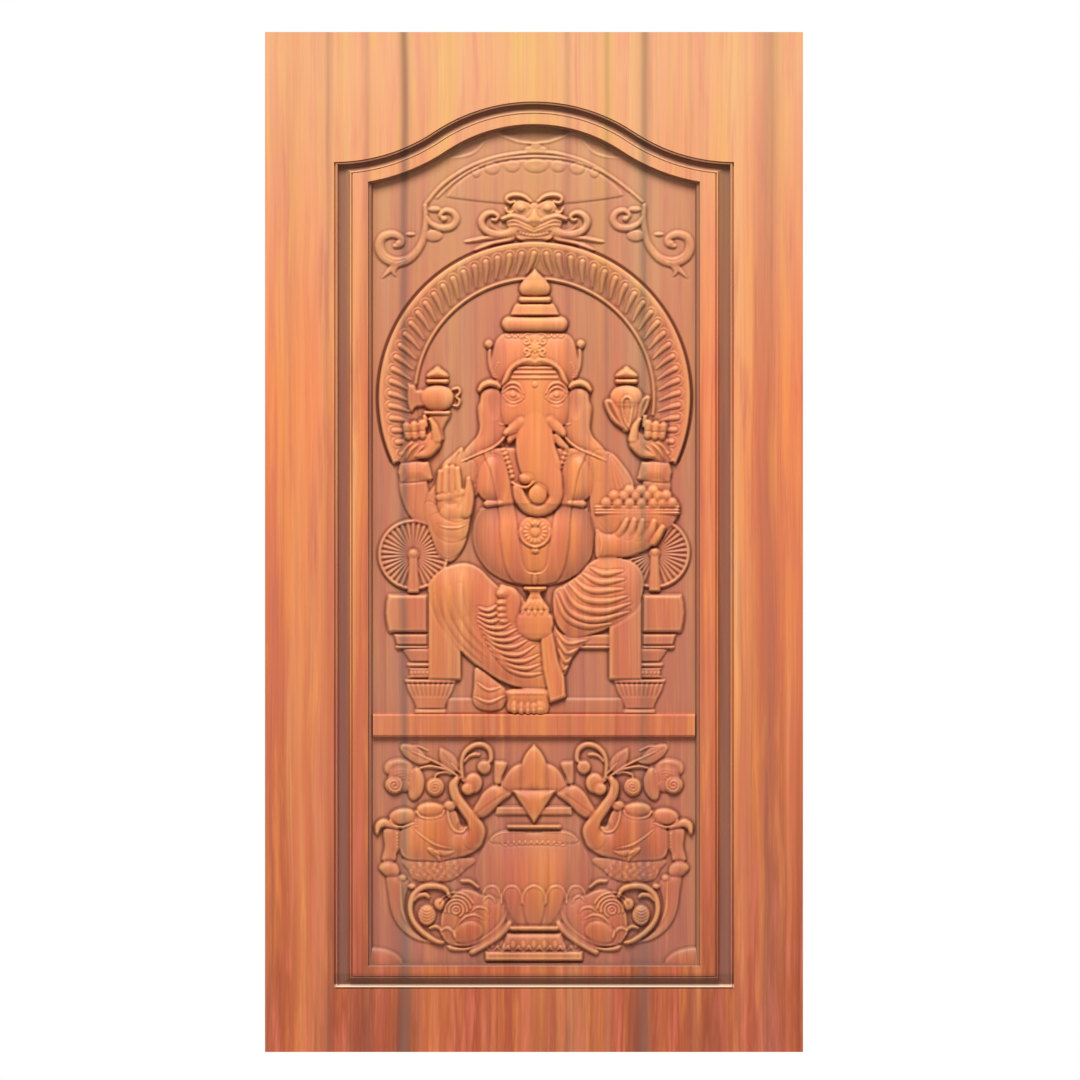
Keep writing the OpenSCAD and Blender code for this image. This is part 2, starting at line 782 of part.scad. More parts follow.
// The small panel under the ledge, carved alike on both sides of the vase
module lower_panel() color(teak) {
  slab(ground_y, ground_y + panel_t)
    intersection() {
      opening(tongue);
      translate([-half_w, 0]) square([leaf_w, ledge_z + tongue]);
    }
  carved(drawn_low, foot_z, ledge_z) {
    vase();
    pair() {
      elephant();
      bouquet();
      low_scroll();
      corner_fan(8);
    }
  }
}

left_stile();
right_stile();
top_rail();
middle_rail();
bottom_rail();
upper_panel();
lower_panel();
left_moulding();
right_moulding();
bottom_moulding();
crown_moulding();
left_flank_moulding();
right_flank_moulding();
tenon_pegs();
hinge_leaf_plate(0);  // top_hinge_leaf_plate
hinge_jamb_plate(0);  // top_hinge_jamb_plate
hinge_pin(0);  // top_hinge_pin
hinge_leaf_plate(1);  // middle_hinge_leaf_plate
hinge_jamb_plate(1);  // middle_hinge_jamb_plate
hinge_pin(1);  // middle_hinge_pin
hinge_leaf_plate(2);  // bottom_hinge_leaf_plate
hinge_jamb_plate(2);  // bottom_hinge_jamb_plate
hinge_pin(2);  // bottom_hinge_pin
hinge_screws();
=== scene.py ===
import math

import bpy
import numpy as np
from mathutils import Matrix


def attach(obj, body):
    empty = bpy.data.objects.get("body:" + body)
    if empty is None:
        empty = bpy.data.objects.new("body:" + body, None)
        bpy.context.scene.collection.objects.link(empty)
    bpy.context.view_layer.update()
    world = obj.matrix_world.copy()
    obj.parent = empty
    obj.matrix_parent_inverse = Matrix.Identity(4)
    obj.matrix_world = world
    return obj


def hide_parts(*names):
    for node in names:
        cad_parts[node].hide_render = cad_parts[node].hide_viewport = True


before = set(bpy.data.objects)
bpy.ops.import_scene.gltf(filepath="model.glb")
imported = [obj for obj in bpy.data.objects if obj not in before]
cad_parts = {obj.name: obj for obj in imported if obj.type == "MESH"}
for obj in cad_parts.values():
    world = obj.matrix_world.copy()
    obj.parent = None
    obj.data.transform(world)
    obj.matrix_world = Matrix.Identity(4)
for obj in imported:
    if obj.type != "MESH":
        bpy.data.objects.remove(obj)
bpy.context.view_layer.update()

# Lengths below and in the carving are in millimetres.
MM = 0.001
GRID = 1.5  # spacing of a carved field's points
GROUND_Y = -3.0  # face of the panels' ground
HIGHEST = 21.7  # limits of the carving over that ground
DEEPEST = -2.4
MOAT_WIDTH = 2.4  # spread of the groove that sets a shape off
MOAT_REACH = 3 * MOAT_WIDTH
SOFT_EDGE = 1.5 * GRID  # width over which a shape blends in
UPPER_SHARE = 0.82  # how much of their height the canopy, lion face and scrolls keep
PANEL_HALF = 322.0  # sight lines of the two panels
LEDGE_LOW = 630.0
LEDGE_TOP = 676.0
FOOT_LOW = 178.5
HIDDEN = 5.0  # how far a carved field runs on under the mouldings
TONGUE = 9.5  # how far a board runs into its grooves
BOARD_HALF = 409.5
BOARD_FRONT = -0.4
BOARD_BACK = 13.0
BOARD_STEPS = 96
OPEN_HALF = 400.0  # the top rail's ogee
SPRING_Z = 1780.0
CROWN_Z = 1901.0
OGEE_R = 360.8
HEAD_WIDTH = 51.5  # width of the moulding
WELD = 0.0002  # metres, as Blender counts
SLIVER = 0.00005


def curve_through(points, gap, closed=False):
    """Points of a smooth curve through the given ones, at most gap apart."""
    p = np.array(points, float)
    if len(p) == 2:
        count = int(np.hypot(*(p[1] - p[0])[:2]) / gap) + 2
        t = np.linspace(0, 1, count)[:, None]
        return p[0] * (1 - t) + p[1] * t
    if closed:
        p = np.vstack([p[-1], p, p[0], p[1]])
    else:
        p = np.vstack([2 * p[0] - p[1], p, 2 * p[-1] - p[-2]])
    spans = []
    for a, b, c, d in zip(p, p[1:], p[2:], p[3:]):
        count = int(np.hypot(*(c - b)[:2]) / gap) + 1
        t = np.arange(count)[:, None] / count
        spans.append(0.5 * (2 * b + (c - a) * t + (2 * a - 5 * b + 4 * c - d) * t ** 2
                            + (3 * b - a - 3 * c + d) * t ** 3))
    if not closed:
        spans.append(p[-2][None])
    return np.vstack(spans)


def eased(h):
    """A field with each point drawn toward its neighbours."""
    h = np.pad(h, 1, mode="edge")
    h = (h[:-2] + 2 * h[1:-1] + h[2:]) / 4
    return (h[:, :-2] + 2 * h[:, 1:-1] + h[:, 2:]) / 4


def blurred(h, reach):
    """A field averaged over a square that reaches so many cells each way, twice over."""
    span = 2 * reach + 1
    for _ in range(4):
        run = np.cumsum(np.pad(h, ((reach + 1, reach), (0, 0)), mode="edge"), axis=0)
        h = ((run[span:] - run[:-span]) / span).T
    return h


def polar(at, radius, a):
    """Point at an angle in radians round another one."""
    return at[0] + radius * math.cos(a), at[1] + radius * math.sin(a)


def matched(half, axis=0.0):
    """An outline from its left half, drawn downward."""
    return list(half) + [(2 * axis - x, z) for x, z in reversed(half)]


class Relief:
    """Carved field: heights in millimetres above the panel's ground, on a grid in x and z."""

    def __init__(self, low, high):
        self.x = np.arange(low[0], high[0] + GRID / 2, GRID)
        self.z = np.arange(low[1], high[1] + GRID / 2, GRID)
        self.h = np.zeros((len(self.z), len(self.x)))
        # Extra painted shade, added to the hollow share.
        self.painted_shade = np.zeros((len(self.z), len(self.x)))
        self.side = 1
        self.axis = 0.0

    def both(self, carve, *shape, axis=0.0, **options):
        """Carves once as drawn and once mirrored about x = axis."""
        self.axis = axis
        for self.side in (1, -1):
            carve(*shape, **options)
        self.side = 1

    def window(self, low, high):
        """Grid slices round a box, with the drawing's own x and z there."""
        ends = (low[0], high[0])
        if self.side < 0:
            ends = (2 * self.axis - high[0], 2 * self.axis - low[0])
        i = np.clip(np.searchsorted(self.x, ends), 0, len(self.x))
        j = np.clip(np.searchsorted(self.z, (low[1], high[1])), 0, len(self.z))
        x, z = np.meshgrid(self.x[i[0]:i[1]], self.z[j[0]:j[1]])
        if self.side < 0:
            x = 2 * self.axis - x
        return (slice(j[0], j[1]), slice(i[0], i[1])), x, z

    def lay(self, where, d, top, how, moat):
        """Blends a shape in: d is the distance past its outline, top its height."""
        h = self.h[where]
        if moat:
            h -= moat * np.exp(-(np.maximum(d, 0) / MOAT_WIDTH) ** 2) * (d > 0)
        if how == "on":
            new = h + top
        elif how == "cover":
            new = top
        else:
            new = np.maximum(h, top)
        h += np.clip(0.5 - d / SOFT_EDGE, 0, 1) * (new - h)

    def dome(self, at, rx, rz, lift, high, turn=0, how="max", moat=1.0, curve=0.5):
        """Oval mound."""
        reach = max(rx, rz) + MOAT_REACH
        where, x, z = self.window((at[0] - reach, at[1] - reach), (at[0] + reach, at[1] + reach))
        c, s = math.cos(math.radians(turn)), math.sin(math.radians(turn))
        u = (x - at[0]) * c + (z - at[1]) * s
        v = (z - at[1]) * c - (x - at[0]) * s
        q = np.hypot(u / rx, v / rz)
        full = np.clip(1 - q * q, 0, 1) ** curve
        self.lay(where, (q - 1) * min(rx, rz), lift + high * full, how, moat)

    def boss(self, at, rx, rz, high, moat, turn=0):
        """Oval mound raised on whatever lies below."""
        self.dome(at, rx, rz, 0, high, turn=turn, how="on", moat=moat)

    def swell(self, at, rx, rz, high, turn=0):
        """Soft oval rise, or a dip where high is negative, on whatever lies below."""
        self.dome(at, rx, rz, 0, high, turn=turn, how="on", moat=0, curve=1)

    def limb(self, path, lift, high, how="max", moat=1.0, curve=0.5):
        """Rounded limb along a smooth path of (x, z, radius), or of (x, z, radius, its own further lift)."""
        path = np.array(path, float)
        if path.shape[1] == 3:
            path = np.column_stack([path, np.zeros(len(path))])
        gap = max(GRID, 0.3 * path[:, 2].min())
        pts = curve_through(path, gap)
        pts[:, 2] = np.maximum(pts[:, 2], 0.4)
        grow = (pts[:, 2] + MOAT_REACH)[:, None]
        where, x, z = self.window((pts[:, :2] - grow).min(0), (pts[:, :2] + grow).max(0))
        d = np.full(x.shape, 1e3)
        pick = np.maximum if high >= 0 else np.minimum
        rise = np.full(x.shape, -1e3 if high >= 0 else 1e3)
        if not x.size:
            return
        for px, pz, r, up in pts:
            reach = r + MOAT_REACH
            cols = np.abs(x[0] - px) < reach
            rows = np.abs(z[:, 0] - pz) < reach
            if not cols.any() or not rows.any():
                continue
            i = np.flatnonzero(cols)
            j = np.flatnonzero(rows)
            sub = (slice(j[0], j[-1] + 1), slice(i[0], i[-1] + 1))
            far = np.hypot(x[sub] - px, z[sub] - pz)
            d[sub] = np.minimum(d[sub], far - r)
            rise[sub] = pick(rise[sub], up + high * np.clip(1 - (far / r) ** 2, 0, 1) ** curve)
        self.lay(where, d, lift + rise, how, moat)

    def ridge(self, path, high, moat, curve=0.5):
        """Limb raised on whatever lies below, or sunk into it where high is negative."""
        self.limb(path, 0, high, how="on", moat=moat, curve=curve)

    def line(self, path, width, high):
        """Thin ridge or groove of one width."""
        self.ridge([(x, z, width) for x, z in path], high, 0, curve=1.0)

    def past(self, outline, smooth):
        """Grid slices round an outline, with each point's distance past it."""
        pts = np.array(outline, float)
        if smooth:
            pts = curve_through(pts, 3.0, closed=True)
        where, x, z = self.window(pts.min(0) - MOAT_REACH, pts.max(0) + MOAT_REACH)
        d = np.full(x.shape, 1e6)
        inside = np.zeros(x.shape, bool)
        for a, b in zip(pts, np.roll(pts, -1, axis=0)):
            run = b - a
            t = np.clip(((x - a[0]) * run[0] + (z - a[1]) * run[1]) / max(run.dot(run), 1e-9), 0, 1)
            d = np.minimum(d, np.hypot(x - a[0] - t * run[0], z - a[1] - t * run[1]))
            if a[1] != b[1]:
                crosses = ((a[1] > z) != (b[1] > z)) & (x < a[0] + (z - a[1]) / run[1] * run[0])
                inside ^= crosses
        return where, np.where(inside, -d, d)

    def plate(self, outline, lift, high, edge=4.0, how="max", moat=1.0, smooth=True):
        """Flat shape inside an outline, with a rounded edge."""
        where, d = self.past(outline, smooth)
        full = 1 - (1 - np.clip(-d / edge, 0, 1)) ** 2
        self.lay(where, d, lift + high * full, how, moat)

    def slab(self, x0, x1, z0, z1, lift, high, edge, moat=1.0):
        """Upright oblong plate with sharp corners."""
        self.plate([(x0, z0), (x1, z0), (x1, z1), (x0, z1)], lift, high, edge, moat=moat, smooth=False)

    def mound(self, outline, lift, high, how="max", moat=1.0, curve=0.7, smooth=True):
        """Full rounded shape inside an outline."""
        where, d = self.past(outline, smooth)
        most = max(-d.min(), GRID)
        full = (1 - (1 - np.clip(-d / most, 0, 1)) ** 2) ** curve
        full = blurred(full, max(1, int(most * 0.22 / GRID)))
        self.lay(where, d, lift + high * full / max(full.max(), 1e-6), how, moat)

    def pleat(self, path, radius, high, moat=0.7):
        """Ridge of cloth that dies away at both ends."""
        pts = curve_through(path, 4.0)
        taper = np.sin(np.linspace(0.18, math.pi - 0.18, len(pts))) ** 0.6
        self.limb([(x, z, radius * w, -high * (1 - w)) for (x, z), w in zip(pts, taper)], 0, high, how="on",
                  moat=moat, curve=0.8)

    def turned(self, x_mid, profile, lift, high, how="max", moat=1.0, power=0.7):
        """Half of a turned shape with the profile (radius, z)."""
        profile = sorted(profile, key=lambda p: p[1])
        r = np.array([p[0] for p in profile])
        zs = np.array([p[1] for p in profile])
        wide = r.max() + MOAT_REACH
        where, x, z = self.window((x_mid - wide, zs[0] - MOAT_REACH), (x_mid + wide, zs[-1] + MOAT_REACH))
        radius = np.interp(z, zs, r)
        off = np.abs(x - x_mid)
        d = np.maximum(off - radius, np.maximum(zs[0] - z, z - zs[-1]))
        full = np.sqrt(np.clip(1 - (off / np.maximum(radius, 0.1)) ** 2, 0, 1))
        self.lay(where, d, lift + high * full * (radius / r.max()) ** power, how, moat)

    def beads(self, path, radius, pitch, high, moat=0.5):
        """Row of beads along a smooth path."""
        pts = curve_through(path, 1.0)
        along = np.concatenate([[0], np.cumsum(np.hypot(*np.diff(pts, axis=0).T))])
        for s in np.arange(pitch / 2, along[-1], pitch):
            at = (np.interp(s, along, pts[:, 0]), np.interp(s, along, pts[:, 1]))
            self.boss(at, radius, radius, high, moat)

    def spiral(self, at, r_out, r_in, turns, start, hand, thick, lift, high, how="max", moat=1.0):
        """Rolled scroll from its outer end inward."""
        path = []
        steps = int(16 * turns) + 4
        for i in range(steps + 1):
            t = i / steps
            a = math.radians(start) + hand * 2 * math.pi * turns * t
            r = r_out + (r_in - r_out) * t
            path.append(polar(at, r, a) + (thick * (1 - 0.35 * t),))
        self.limb(path, lift, high, how=how, moat=moat)

    def leaf(self, path, width, lift, high, how="max", moat=1.0, vein=0.8):
        """Pointed leaf along a path from its foot to its tip, with a groove along the middle."""
        pts = curve_through(path, 2.0)
        t = np.linspace(0, 1, len(pts))
        half = width / 2 * np.maximum(np.sin(math.pi * (0.12 + 0.88 * t) ** 0.8), 0.04)
        step = max(1, len(pts) // 12)
        keep = sorted(set(range(0, len(pts), step)) | {len(pts) - 1})
        self.limb([(pts[i][0], pts[i][1], half[i]) for i in keep], lift, high, how=how, moat=moat)
        if vein:
            self.line([tuple(pts[i]) for i in keep[:-1]], max(1.6, width * 0.09), -vein)

    def finished(self):
        """The field with its smallest steps eased."""
        return np.clip(eased(self.h), DEEPEST, HIGHEST)

    def shades(self, heights):
        """Shares of painted shade in hollows, along the panel's sides and where more painted shade is laid
        on, and of lighter colour on crests, from the field's own bends.
        """
        bend = blurred(heights, 3) - heights
        # Painted shade along the panel's sides, next to the mouldings.
        edge = np.exp((np.abs(self.x) - PANEL_HALF) / 7.0)[None, :]
        return {"hollow": np.clip(bend / 1.7 - 0.08, 0, 1.4) + np.clip(0.55 * edge, 0, 0.55) + self.painted_shade,
                "crest": np.clip(-bend / 1.8 - 0.1, 0, 1)}


def carve_canopy(r):
    """Shallow umbrella with a scalloped border."""
    r.limb([(-215.9, 1696.7, 4), (-182.8, 1734.2, 4), (-133.7, 1767.2, 4), (-80.1, 1787.8, 4),
        (-26.6, 1797.6, 3.6), (4.7, 1799.4, 3.6), (44.9, 1796.7, 3.6), (98.4, 1781.5, 3.6),
        (143.1, 1757.4, 3.6), (183.2, 1728.8, 3.6), (216.7, 1700.2, 3.1)], 1, 2.6)
    r.limb([(-194, 1708.3, 2.7), (-156, 1743.1, 2.7), (-106.9, 1771.7, 2.7), (-57.8, 1786, 2.7),
        (4.7, 1790.4, 2.7), (67.2, 1785.1, 2.7), (116.3, 1769, 2.7), (156.5, 1747.6, 2.7),
        (189.9, 1720.8, 2.2)], 0.6, 2)
    r.plate([(-173, 1714.5), (-151.6, 1738.6), (-115.9, 1761.9), (-62.3, 1778.8), (2.4, 1784.2),
        (67.2, 1778.8), (120.8, 1761.9), (156.5, 1738.6), (176.1, 1718.1), (169.9, 1710.1), (80.6, 1698.5),
        (2.4, 1694.9), (-71.2, 1697.6), (-165, 1708.3)], 0.6, 1.6, edge=4)
    r.beads([(-165, 1709.2), (-71.2, 1698.5), (2.4, 1695.8), (80.6, 1699.4), (169.9, 1711)],
        1.8, 5, 0.8, moat=0.2)
    for at, rx, rz in (((-115.9, 1759.2), 9, 10), ((-83.7, 1767.2), 15, 12), ((-43.5, 1771.7), 15, 12),
            ((3.8, 1772.6), 24, 14), ((48.4, 1771.7), 15, 12), ((86.8, 1767.2), 15, 12),
            ((120.8, 1758.3), 9, 10)):
        r.dome(at, rx, rz, 0.4, 1.8, how="on", moat=0.9, curve=0.6)
        r.swell((at[0], at[1] + 3), rx * 0.62, rz * 0.6, -1)
    r.dome((3.8, 1804.7), 22, 7, 0.5, 2)
    r.dome((3.8, 1811.9), 10, 5, 0.5, 1.5)


def carve_mask_side(r):
    """One side of the lion face: eye, brow curl, lip, side curl and leaves."""
    r.mound([(-34.4, 1644.8), (-56.8, 1632.5), (-82, 1633.6), (-112.8, 1629.1), (-139.7, 1621.8),
        (-136.3, 1617.9), (-115.6, 1619.6), (-96, 1623.5), (-68, 1624.6), (-37.2, 1628)], 2, 4.5, moat=0.8)
    r.mound([(-37.2, 1630.8), (-73.6, 1623.5), (-101.6, 1616.2), (-119.5, 1605), (-116.7, 1600),
        (-105.5, 1600), (-89.3, 1606.7), (-82, 1613.4), (-48.4, 1619)], 2, 4.5, moat=0.8)
    r.limb([(-37.2, 1642, 9.5), (-62.4, 1635.3, 7.6), (-84.8, 1637, 7), (-100.5, 1647, 7), (-105, 1662.2, 7),
        (-95.4, 1675, 6.2), (-82, 1677.8, 5), (-71.9, 1671.1, 4.2), (-75.8, 1663.8, 3.4),
        (-83.1, 1664.4, 2.8)], 3, 5.5, moat=0.9)
    r.pleat([(-94.9, 1658.8), (-89.3, 1644.8), (-68, 1639.2)], 2.6, 1.8, moat=0.8)
    r.pleat([(-84.8, 1656), (-76.4, 1645.9), (-56.8, 1642)], 2.6, 1.8, moat=0.8)
    r.limb([(-62.4, 1666.1, 3.9), (-45.6, 1671.7, 5.3), (-26, 1667.2, 5.9), (0.6, 1655.4, 5.9)],
        7, 5.4, moat=0.8)
    r.pleat([(-61.3, 1658.8), (-40, 1662.7), (-22.1, 1655.4), (2, 1645.4)], 3.2, 2.4, moat=0.9)
    r.pleat([(-52.3, 1652.6), (-34.4, 1653.8), (-14.8, 1646.5), (2, 1640.3)], 3, 2.2, moat=0.9)
    r.dome((-26.6, 1688.5), 17, 13, 6, 6.5)
    r.dome((-26, 1687.9), 8.5, 7, 0.8, 2.6, how="on", moat=1)
    r.ridge([(-7.5, 1689, 2.2), (-14.2, 1697.4, 2.5), (-26.6, 1701.6, 2.5), (-38.9, 1697.4, 2.5),
        (-43.4, 1687.4, 2)], 2.6, 0.6)
    r.limb([(-7, 1700.8, 3.1), (-20.4, 1710.9, 4.2), (-37.2, 1714.2, 4.5), (-51.2, 1710.9, 4.2),
        (-54.8, 1703, 3.6), (-47.8, 1698, 3.1), (-38.3, 1700.8, 2.2)], 5, 5.5, moat=0.9)
    r.limb([(-56.2, 1686.8, 2.2), (-53.4, 1680.1, 2.8), (-44.5, 1679.2, 2.5), (-39.4, 1684, 1.7)],
        5, 4.4, moat=0.7)


def carve_mask(r):
    """Lion face over the halo."""
    axis = 0.6
    r.mound(matched([(0.3, 1697.4), (-23.2, 1699.7), (-42.2, 1689.6), (-56.2, 1669.4), (-51.2, 1647),
        (-34.4, 1627.4), (-17.6, 1618.5), (0.3, 1616.8)], axis), 3.5, 7, moat=1.2, curve=0.5)
    r.both(carve_mask_side, r, axis=axis)
    r.mound(matched([(0.3, 1685.1), (-8.6, 1671.4), (-16.5, 1661), (-7.5, 1657.1), (0.3, 1654.3)], axis),
        9, 7, moat=0.9)
    r.plate(matched([(0.3, 1638.6), (-35.5, 1642.6), (-26.6, 1630.2), (0.3, 1625.8)], axis),
        0, -2.2, edge=3, how="on", moat=0)
    r.beads([(-30.5, 1638.6), (0.3, 1632.5), (31.7, 1638.6)], 3.4, 6.8, 3)
    r.both(r.pleat, [(-38.3, 1633.6), (-24.3, 1623.5), (0.3, 1619.6), (16, 1621.3)],
        3.4, 2.2, moat=0.6, axis=axis)


def carve_crescent(r):
    """Hollow crescents under the head moulding."""
    lens = matched([(0, 1852), (-50, 1852), (-84, 1847), (-60, 1832), (-30, 1821), (0, 1818)])
    r.plate(lens, 0, -2.4, edge=12, how="on", moat=0, smooth=False)
    # Painted shadow in the middle lens under the moulding.
    where, d = r.past(lens, smooth=False)
    r.painted_shade[where] += 0.8 * np.clip(0.3 - d / 12, 0, 1) * (d < 0)
    r.both(r.pleat, [(-90, 1847), (-60, 1831), (-30, 1820), (0, 1817), (20, 1818)], 3.4, 2, moat=0.3)
    r.both(r.plate, [(-170, 1788), (-140, 1792), (-116, 1803), (-97, 1825), (-98, 1842), (-130, 1830),
        (-165, 1806)], 0, -2.2, edge=8, how="on", moat=0)
    r.both(r.pleat, [(-172, 1787), (-140, 1791), (-115, 1802), (-94, 1828)], 3, 1.6, moat=0.2)


def carve_top_scroll(r):
    """Scrolled stem beside the canopy, left hand."""
    r.limb([(-217.6, 1692.2, 4.5), (-216.8, 1656.5, 5.8), (-224.8, 1616.3, 7.1), (-247.1, 1587.8, 8.5),
        (-274.8, 1578.8, 9.8), (-299.8, 1589.5, 9.8), (-309.6, 1610.1, 9.4), (-302.5, 1628.8, 8.5),
        (-282.8, 1635.1, 7.6), (-265.9, 1627, 6.7), (-265.9, 1615.4, 6.2), (-277.5, 1611.9, 4.9)], 1.2, 4.6)
    r.line([(-236.4, 1602.9), (-267.6, 1582.4), (-295.3, 1589.5), (-305.1, 1609.2), (-298.9, 1624.4)],
        2.4, -1.2)
    r.dome((-269.4, 1617.2), 8, 7, 2, 5, moat=0.6)
    r.dome((-247.1, 1635.1), 10, 4, 1, 3.6)
    r.leaf([(-260.5, 1579.7), (-282.8, 1568.1), (-305.1, 1545.8)], 13, 1, 3.6)
    r.leaf([(-273, 1574.4), (-281, 1561), (-274.8, 1549.4)], 10, 1, 3.2)
    r.dome((-200.7, 1632.4), 18, 12, 1, 3.6)
    r.limb([(-214.1, 1669, 3.6), (-206, 1656.5, 5.4), (-186.4, 1647.6, 6.7), (-165, 1650.2, 7.1),
        (-155.1, 1664.5, 7.1), (-162.3, 1678.8, 6.2), (-178.4, 1682.4, 5.4), (-187.3, 1673.5, 4.5),
        (-181, 1664.5, 3.6)], 1.2, 4.4)
    r.dome((-180.1, 1666.3), 7, 6, 2, 4.6, moat=0.6)
    r.dome((-198.9, 1685.1), 13, 6, 1, 4.2)


HALO_AT = (1, 1308)
HALO_R = 312  # outer edge, inner edge of the rim and inner edge of the ring
HALO_RIM = 301
HALO_IN = 236
HALO_LOW = 1160
HALO_FROM = -25  # degrees
HALO_TO = 205
HALO_PITCH = 4.9


def halo_point(radius, degrees):
    return polar(HALO_AT, radius, math.radians(degrees))


def carve_halo(r):
    """Hollow ring of petals with a plain rim and an inner bead."""
    out = HALO_R + 12
    where, x, z = r.window((HALO_AT[0] - out, HALO_LOW), (HALO_AT[0] + out, HALO_AT[1] + out))
    radius = np.hypot(x - HALO_AT[0], z - HALO_AT[1])
    angle = np.degrees(np.arctan2(z - HALO_AT[1], x - HALO_AT[0]))
    angle = np.where(angle < -90, angle + 360, angle)
    past_end = np.maximum(HALO_FROM - angle, angle - HALO_TO) * math.pi / 180 * HALO_R
    d = np.maximum(np.maximum(radius - HALO_R, HALO_IN - radius), past_end)
    hollow = 0.6 + 9.2 * np.clip((radius - 242) / 60, 0, 1) ** 1.5
    r.lay(where, d, np.where(radius > HALO_RIM, 10.6, hollow), "max", 2.4)
    # Painted shade: a dark line just outside the halo's rim.
    r.painted_shade[where] += 1.3 * np.exp(-((radius - 314) / 2) ** 2) * (past_end < 0)
    # Painted shade on the ring inside the rim, stronger toward its top.
    dusk = 0.16 + 0.30 * np.clip((z - 1420) / 160, 0, 1)
    r.painted_shade[where] += dusk * np.clip((296 - radius) / 22, 0, 1) * (d < 0)
    for degrees in np.arange(HALO_FROM + HALO_PITCH / 2, HALO_TO, HALO_PITCH):
        lean = 1 if degrees > 90 else -1
        outer = halo_point(288, degrees)
        middle = halo_point(272, degrees + 0.9 * lean)
        inner = halo_point(250, degrees + 3.2 * lean)
        r.limb([outer + (11.8, 0), middle + (10.8, -0.4), inner + (6.4, -2)],
            0.4, 1.7, how="on", moat=0.5, curve=0.2)
        r.limb([outer + (8.6, 0), middle + (7.8, 0.2), inner + (4, 1)],
            -2.8, 0.6, how="on", moat=0, curve=0.3)
        r.limb([outer + (6.2, 0), middle + (5.8, -0.2), inner + (2.8, -1.6)],
            0.6, 4, how="on", moat=0, curve=0.7)
    r.limb([halo_point(315, a) + (2.8,) for a in np.linspace(-24, 204, 80)],
        -0.4, -2.6, how="on", moat=0, curve=0.3)
    r.limb([halo_point(239, a) + (3.4,) for a in np.linspace(-8, 173, 60)], 1.8, 4.4, moat=1)


def carve_wheel(r, at):
    """Spoked wheel behind the throne's arm, on a tapered post."""
    r.dome(at, 71, 71, 1, 1.2, moat=1.6, curve=0.2)
    spokes = 34
    for i in range(spokes):
        a = 2 * math.pi * (i + 0.5) / spokes
        spoke = [polar(at, 14, a) + (1,), polar(at, 63, a) + (4.4,)]
        r.limb(spoke, 0.4, 3, how="on", moat=0.8, curve=0.7)
    ring = [polar(at, 67.5, a) + (3.6,) for a in np.linspace(0, 2 * math.pi, 60)]
    r.limb(ring, 3, 4, moat=0.8)
    r.dome(at, 12, 12, 4, 3)
    r.turned(at[0], [(8, at[1] + 4), (9, at[1] - 20), (12, at[1] - 76)], 5, 5)
    r.dome((at[0], at[1] + 2), 8, 8, 6, 4)


def carve_throne_side(r):
    """Arm block, stepped leg, bell foot and front post, left hand."""
    r.plate([(-291.6, 915.2), (-212.6, 915.2), (-212.6, 838.9), (-291.6, 838.9), (-295.9, 859.7),
        (-297.6, 877.1), (-295.9, 898.7)], 3, 6, edge=7, smooth=False)
    r.plate([(-281.2, 836.3), (-212.6, 836.3), (-212.6, 812.9), (-274.2, 812.9)],
        2, 4.6, edge=4, smooth=False)
    r.slab(-276.8, -212.6, 812, 806.8, 3, 5, 2)
    r.turned(-207, [(56, 806), (54, 800), (42, 783), (40, 780)], 2, 5.5)
    r.turned(-207, [(46, 778), (48, 775), (46, 770)], 3, 5.5, moat=0.8)
    r.turned(-207, [(47, 768), (42, 764), (42, 752), (48, 748)], 2.5, 5.5, moat=0.8)
    r.beads([(-250, 758), (-212, 758)], 3.4, 8, 2)
    r.turned(-207, [(52, 745), (51, 740), (49, 737)], 3.5, 5.5, moat=0.8)
    r.turned(-207, [(49, 736), (45, 722), (36, 706), (30, 692), (29, 686)], 2.5, 6.5, power=0.4)
    for i in range(9):
        x = -207 + (i - 4) * 10.5
        r.line([(x, 738), (-207 + (i - 4) * 8.2, 712)], 2.8, -2.2)
    r.turned(-207, [(31, 685), (32, 680), (31, 676)], 3, 5.5, moat=0.8)
    r.slab(-211.8, -145.9, 912.6, 744.4, 6, 4, 5, moat=1.6)


def carve_throne(r):
    """Throne, low step and seat rail."""
    r.slab(-174, 180, 676, 708, 0.6, 2.2, 6, moat=0.4)
    r.slab(84, 152.5, 835.4, 812, 3, 3.4, 4)
    r.slab(84, 152.5, 812, 806.8, 4, 4.4, 2)
    r.both(carve_throne_side, r, axis=2)


def carve_raised_arm(r):
    """Upper arm with its cuff, left side."""
    r.limb([(-124.2, 1141.6, 26), (-171.9, 1093.9, 30.4), (-219.6, 1080.9, 26.9), (-239.1, 1119.9, 28.6),
        (-241.3, 1158.9, 27.8)], 3, 5, moat=1.4)
    r.plate([(-267.3, 1180.6), (-210.9, 1180.6), (-202.2, 1145.9), (-206.6, 1142.5), (-266.4, 1137.3),
        (-271.6, 1158.9)], 6, 5, edge=26, smooth=False, moat=1.2)
    r.line([(-267.3, 1139), (-241.3, 1139), (-204, 1144.2)], 2, -1.6)


